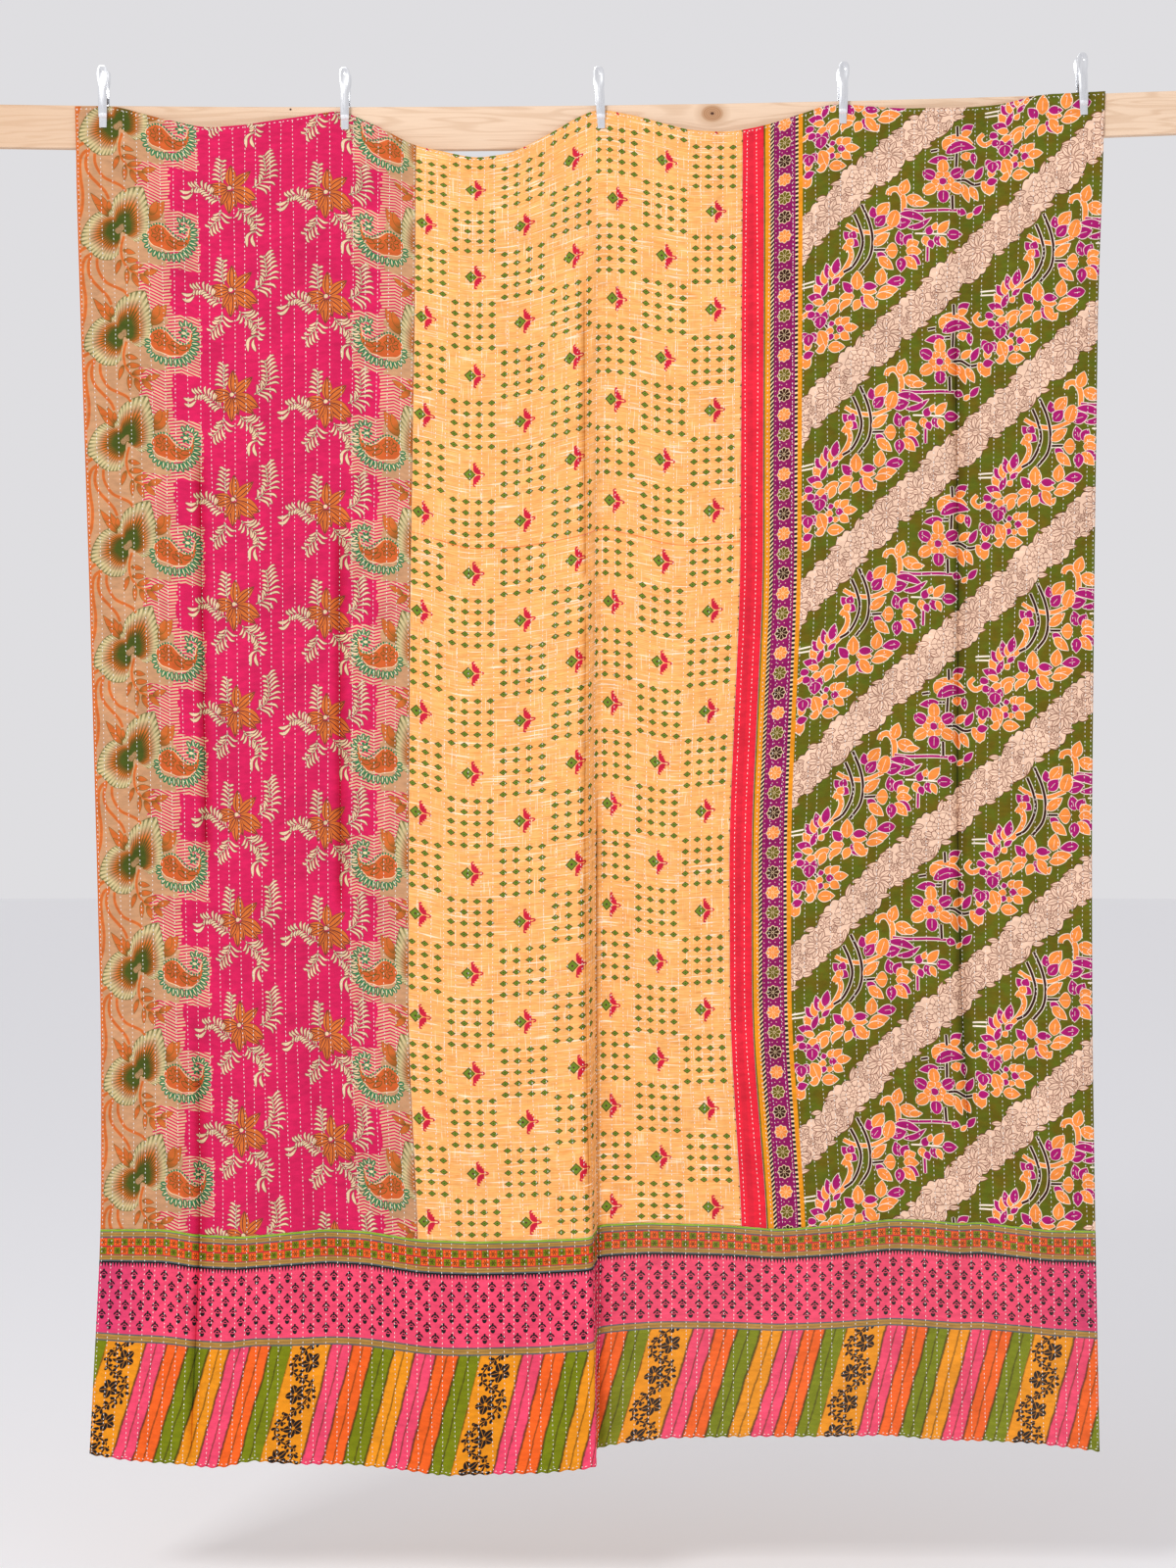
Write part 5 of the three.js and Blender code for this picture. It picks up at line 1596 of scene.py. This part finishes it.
def press_ribs(bm, out):
    """Raises two slim ribs on an arm's outer face, from above its foot to below its curl."""
    tree = BVHTree.FromBMesh(bm)
    at = np.array([v.co for v in bm.verts])
    middle, low, high = at.mean(axis=0), at[:, 2].min(), at[:, 2].max()
    spread = np.cov(at[:, 0], at[:, 2])
    lean = spread[0, 1] / spread[1, 1]
    angles = 2 * math.pi * np.arange(RIB_SIDES) / RIB_SIDES
    faces = []
    for across in RIB_AT:
        rings = []
        for i, up in enumerate(low + RIB_REACH * (high - low)):
            start = Vector((middle[0] + lean * (up - middle[2]) + across * MM, out, up))
            hit, normal, *_ = tree.ray_cast(start, Vector((0, -out, 0)))
            thick = RIB_RADIUS * (RIB_TIP if i in (0, len(RIB_REACH) - 1) else 1.0)
            ways = [math.cos(a) * Vector((1, 0, 0)) + math.sin(a) * normal for a in angles]
            rings.append([bm.verts.new(hit + thick * way) for way in ways])
        for lower, upper in zip(rings, rings[1:]):
            for i in range(RIB_SIDES):
                faces.append(bm.faces.new((lower[i - 1], lower[i], upper[i], upper[i - 1])))
        faces += [bm.faces.new(rings[0]), bm.faces.new(rings[-1])]
    bmesh.ops.recalc_face_normals(bm, faces=faces)


def rolled_edges(solid, out):
    """A smooth copy of a solid's mesh whose sharp edges are rolled over. An arm that faces out gets its
    ribs."""
    bm = bmesh.new()
    bm.from_mesh(solid.data)
    bm.transform(solid.matrix_world)
    bmesh.ops.remove_doubles(bm, verts=bm.verts, dist=0.01 * MM)
    sharp = [e for e in bm.edges if e.calc_face_angle(0.0) > SHARP]
    bmesh.ops.bevel(
        bm,
        geom=sharp,
        offset=EDGE_ROLL,
        segments=2,
        affect="EDGES",
        profile=0.5,
        material=-1,
        clamp_overlap=True,
    )
    if out:
        press_ribs(bm, out)
    for f in bm.faces:
        f.smooth = True
    for e in bm.edges:
        e.smooth = e.calc_face_angle(0.0) < SHARP
    mesh = bpy.data.meshes.new(solid.name + "_steel")
    bm.to_mesh(mesh)
    bm.free()
    return mesh


class QUILT_OT_clips(bpy.types.Operator):
    """Sprung steel clips"""

    bl_idname = "quilt.clips"
    bl_label = "Clips"

    def execute(self, context):
        c = inks()
        plated = steel("bright plated steel", 0.2, c.plating, c.plating_dark)
        sprung = steel("spring steel", 0.35, c.spring, c.plating_dark)
        for name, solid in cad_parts.items():
            if not name.startswith("clip"):
                continue
            leaf = name.endswith("spring")
            out = 0 if leaf else -1 if name.endswith("front_arm") else 1
            piece = show(name + "_steel", rolled_edges(solid, out), sprung if leaf else plated)
            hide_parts(name)
        return {"FINISHED"}


# The stage, in metres: a key light from the upper left, light all round, and a camera square to the quilt.

FLOOR_RADIUS, FLOOR_SIDES = 40.0, 96
KEY_AT, KEY_AIM = (-2.6, -6.6, 2.2), (0, 0, -1.0)
KEY_SIZE, KEY_POWER, ROOM_LIGHT = 1.6, 260, 0.8
CAMERA_AT, SENSOR = (0, -6.525, -1.0736), 36
VIEW_AWAY, VIEW_TALL = 6.5, 2.56


class QUILT_OT_stage(bpy.types.Operator):
    """Pale floor, soft light and the camera"""

    bl_idname = "quilt.stage"
    bl_label = "Stage"

    def execute(self, context):
        scene = context.scene
        bm = bmesh.new()
        bmesh.ops.create_circle(bm, cap_ends=True, segments=FLOOR_SIDES, radius=FLOOR_RADIUS)
        bmesh.ops.translate(bm, verts=bm.verts, vec=(0, 0, sizes().floor_height))
        mesh = bpy.data.meshes.new("floor")
        bm.to_mesh(mesh)
        bm.free()
        floor = bpy.data.objects.new("floor", mesh)
        scene.collection.objects.link(floor)
        # Matt floor paint is even and dull, so it only takes up soft shadows.
        paint, _, shader = finish("matt floor paint", 0.9)
        shader.inputs["Base Color"].default_value = inks().floor
        mesh.materials.append(paint)

        world = scene.world or bpy.data.worlds.new("studio")
        scene.world = world
        world.use_nodes = True
        room = world.node_tree.nodes["Background"]
        room.inputs["Color"].default_value = inks().air
        room.inputs["Strength"].default_value = ROOM_LIGHT

        lamp = bpy.data.lights.new("key", "AREA")
        lamp.size = KEY_SIZE
        lamp.energy = KEY_POWER
        key = bpy.data.objects.new("key", lamp)
        key.location = KEY_AT
        key.rotation_euler = (Vector(KEY_AIM) - key.location).to_track_quat("-Z", "Y").to_euler()
        scene.collection.objects.link(key)

        lens = bpy.data.cameras.new("camera")
        lens.sensor_width = SENSOR
        lens.lens = SENSOR * VIEW_AWAY / VIEW_TALL
        camera = bpy.data.objects.new("camera", lens)
        camera.location = CAMERA_AT
        camera.rotation_euler = (math.pi / 2, 0, 0)
        scene.collection.objects.link(camera)
        scene.camera = camera
        scene.view_settings.view_transform = "Standard"
        return {"FINISHED"}


STEPS = (
    QUILT_OT_paisley_panel,
    QUILT_OT_dotted_panel,
    QUILT_OT_red_strip,
    QUILT_OT_floral_panel,
    QUILT_OT_border_panel,
    QUILT_OT_stitches,
    QUILT_OT_rail,
    QUILT_OT_clips,
    QUILT_OT_stage,
)


class QUILT_PT_pieces(bpy.types.Panel):
    """Lists the pieces of the quilt"""

    bl_label = "Quilt"
    bl_space_type = "VIEW_3D"
    bl_region_type = "UI"
    bl_category = "Quilt"

    def draw(self, context):
        for step in STEPS:
            self.layout.operator(step.bl_idname)


def register():
    for cls in (QuiltColours, QuiltSizes, *STEPS, QUILT_PT_pieces):
        bpy.utils.register_class(cls)
    bpy.types.Scene.quilt_colours = PointerProperty(type=QuiltColours)
    bpy.types.Scene.quilt_sizes = PointerProperty(type=QuiltSizes)


def unregister():
    del bpy.types.Scene.quilt_sizes
    del bpy.types.Scene.quilt_colours
    for cls in reversed((QuiltColours, QuiltSizes, *STEPS, QUILT_PT_pieces)):
        bpy.utils.unregister_class(cls)


def main():
    register()
    bpy.ops.quilt.paisley_panel()
    bpy.ops.quilt.dotted_panel()
    bpy.ops.quilt.red_strip()
    bpy.ops.quilt.floral_panel()
    bpy.ops.quilt.border_panel()
    bpy.ops.quilt.stitches()
    bpy.ops.quilt.rail()
    bpy.ops.quilt.clips()
    bpy.ops.quilt.stage()


if __name__ == "__main__":
    main()
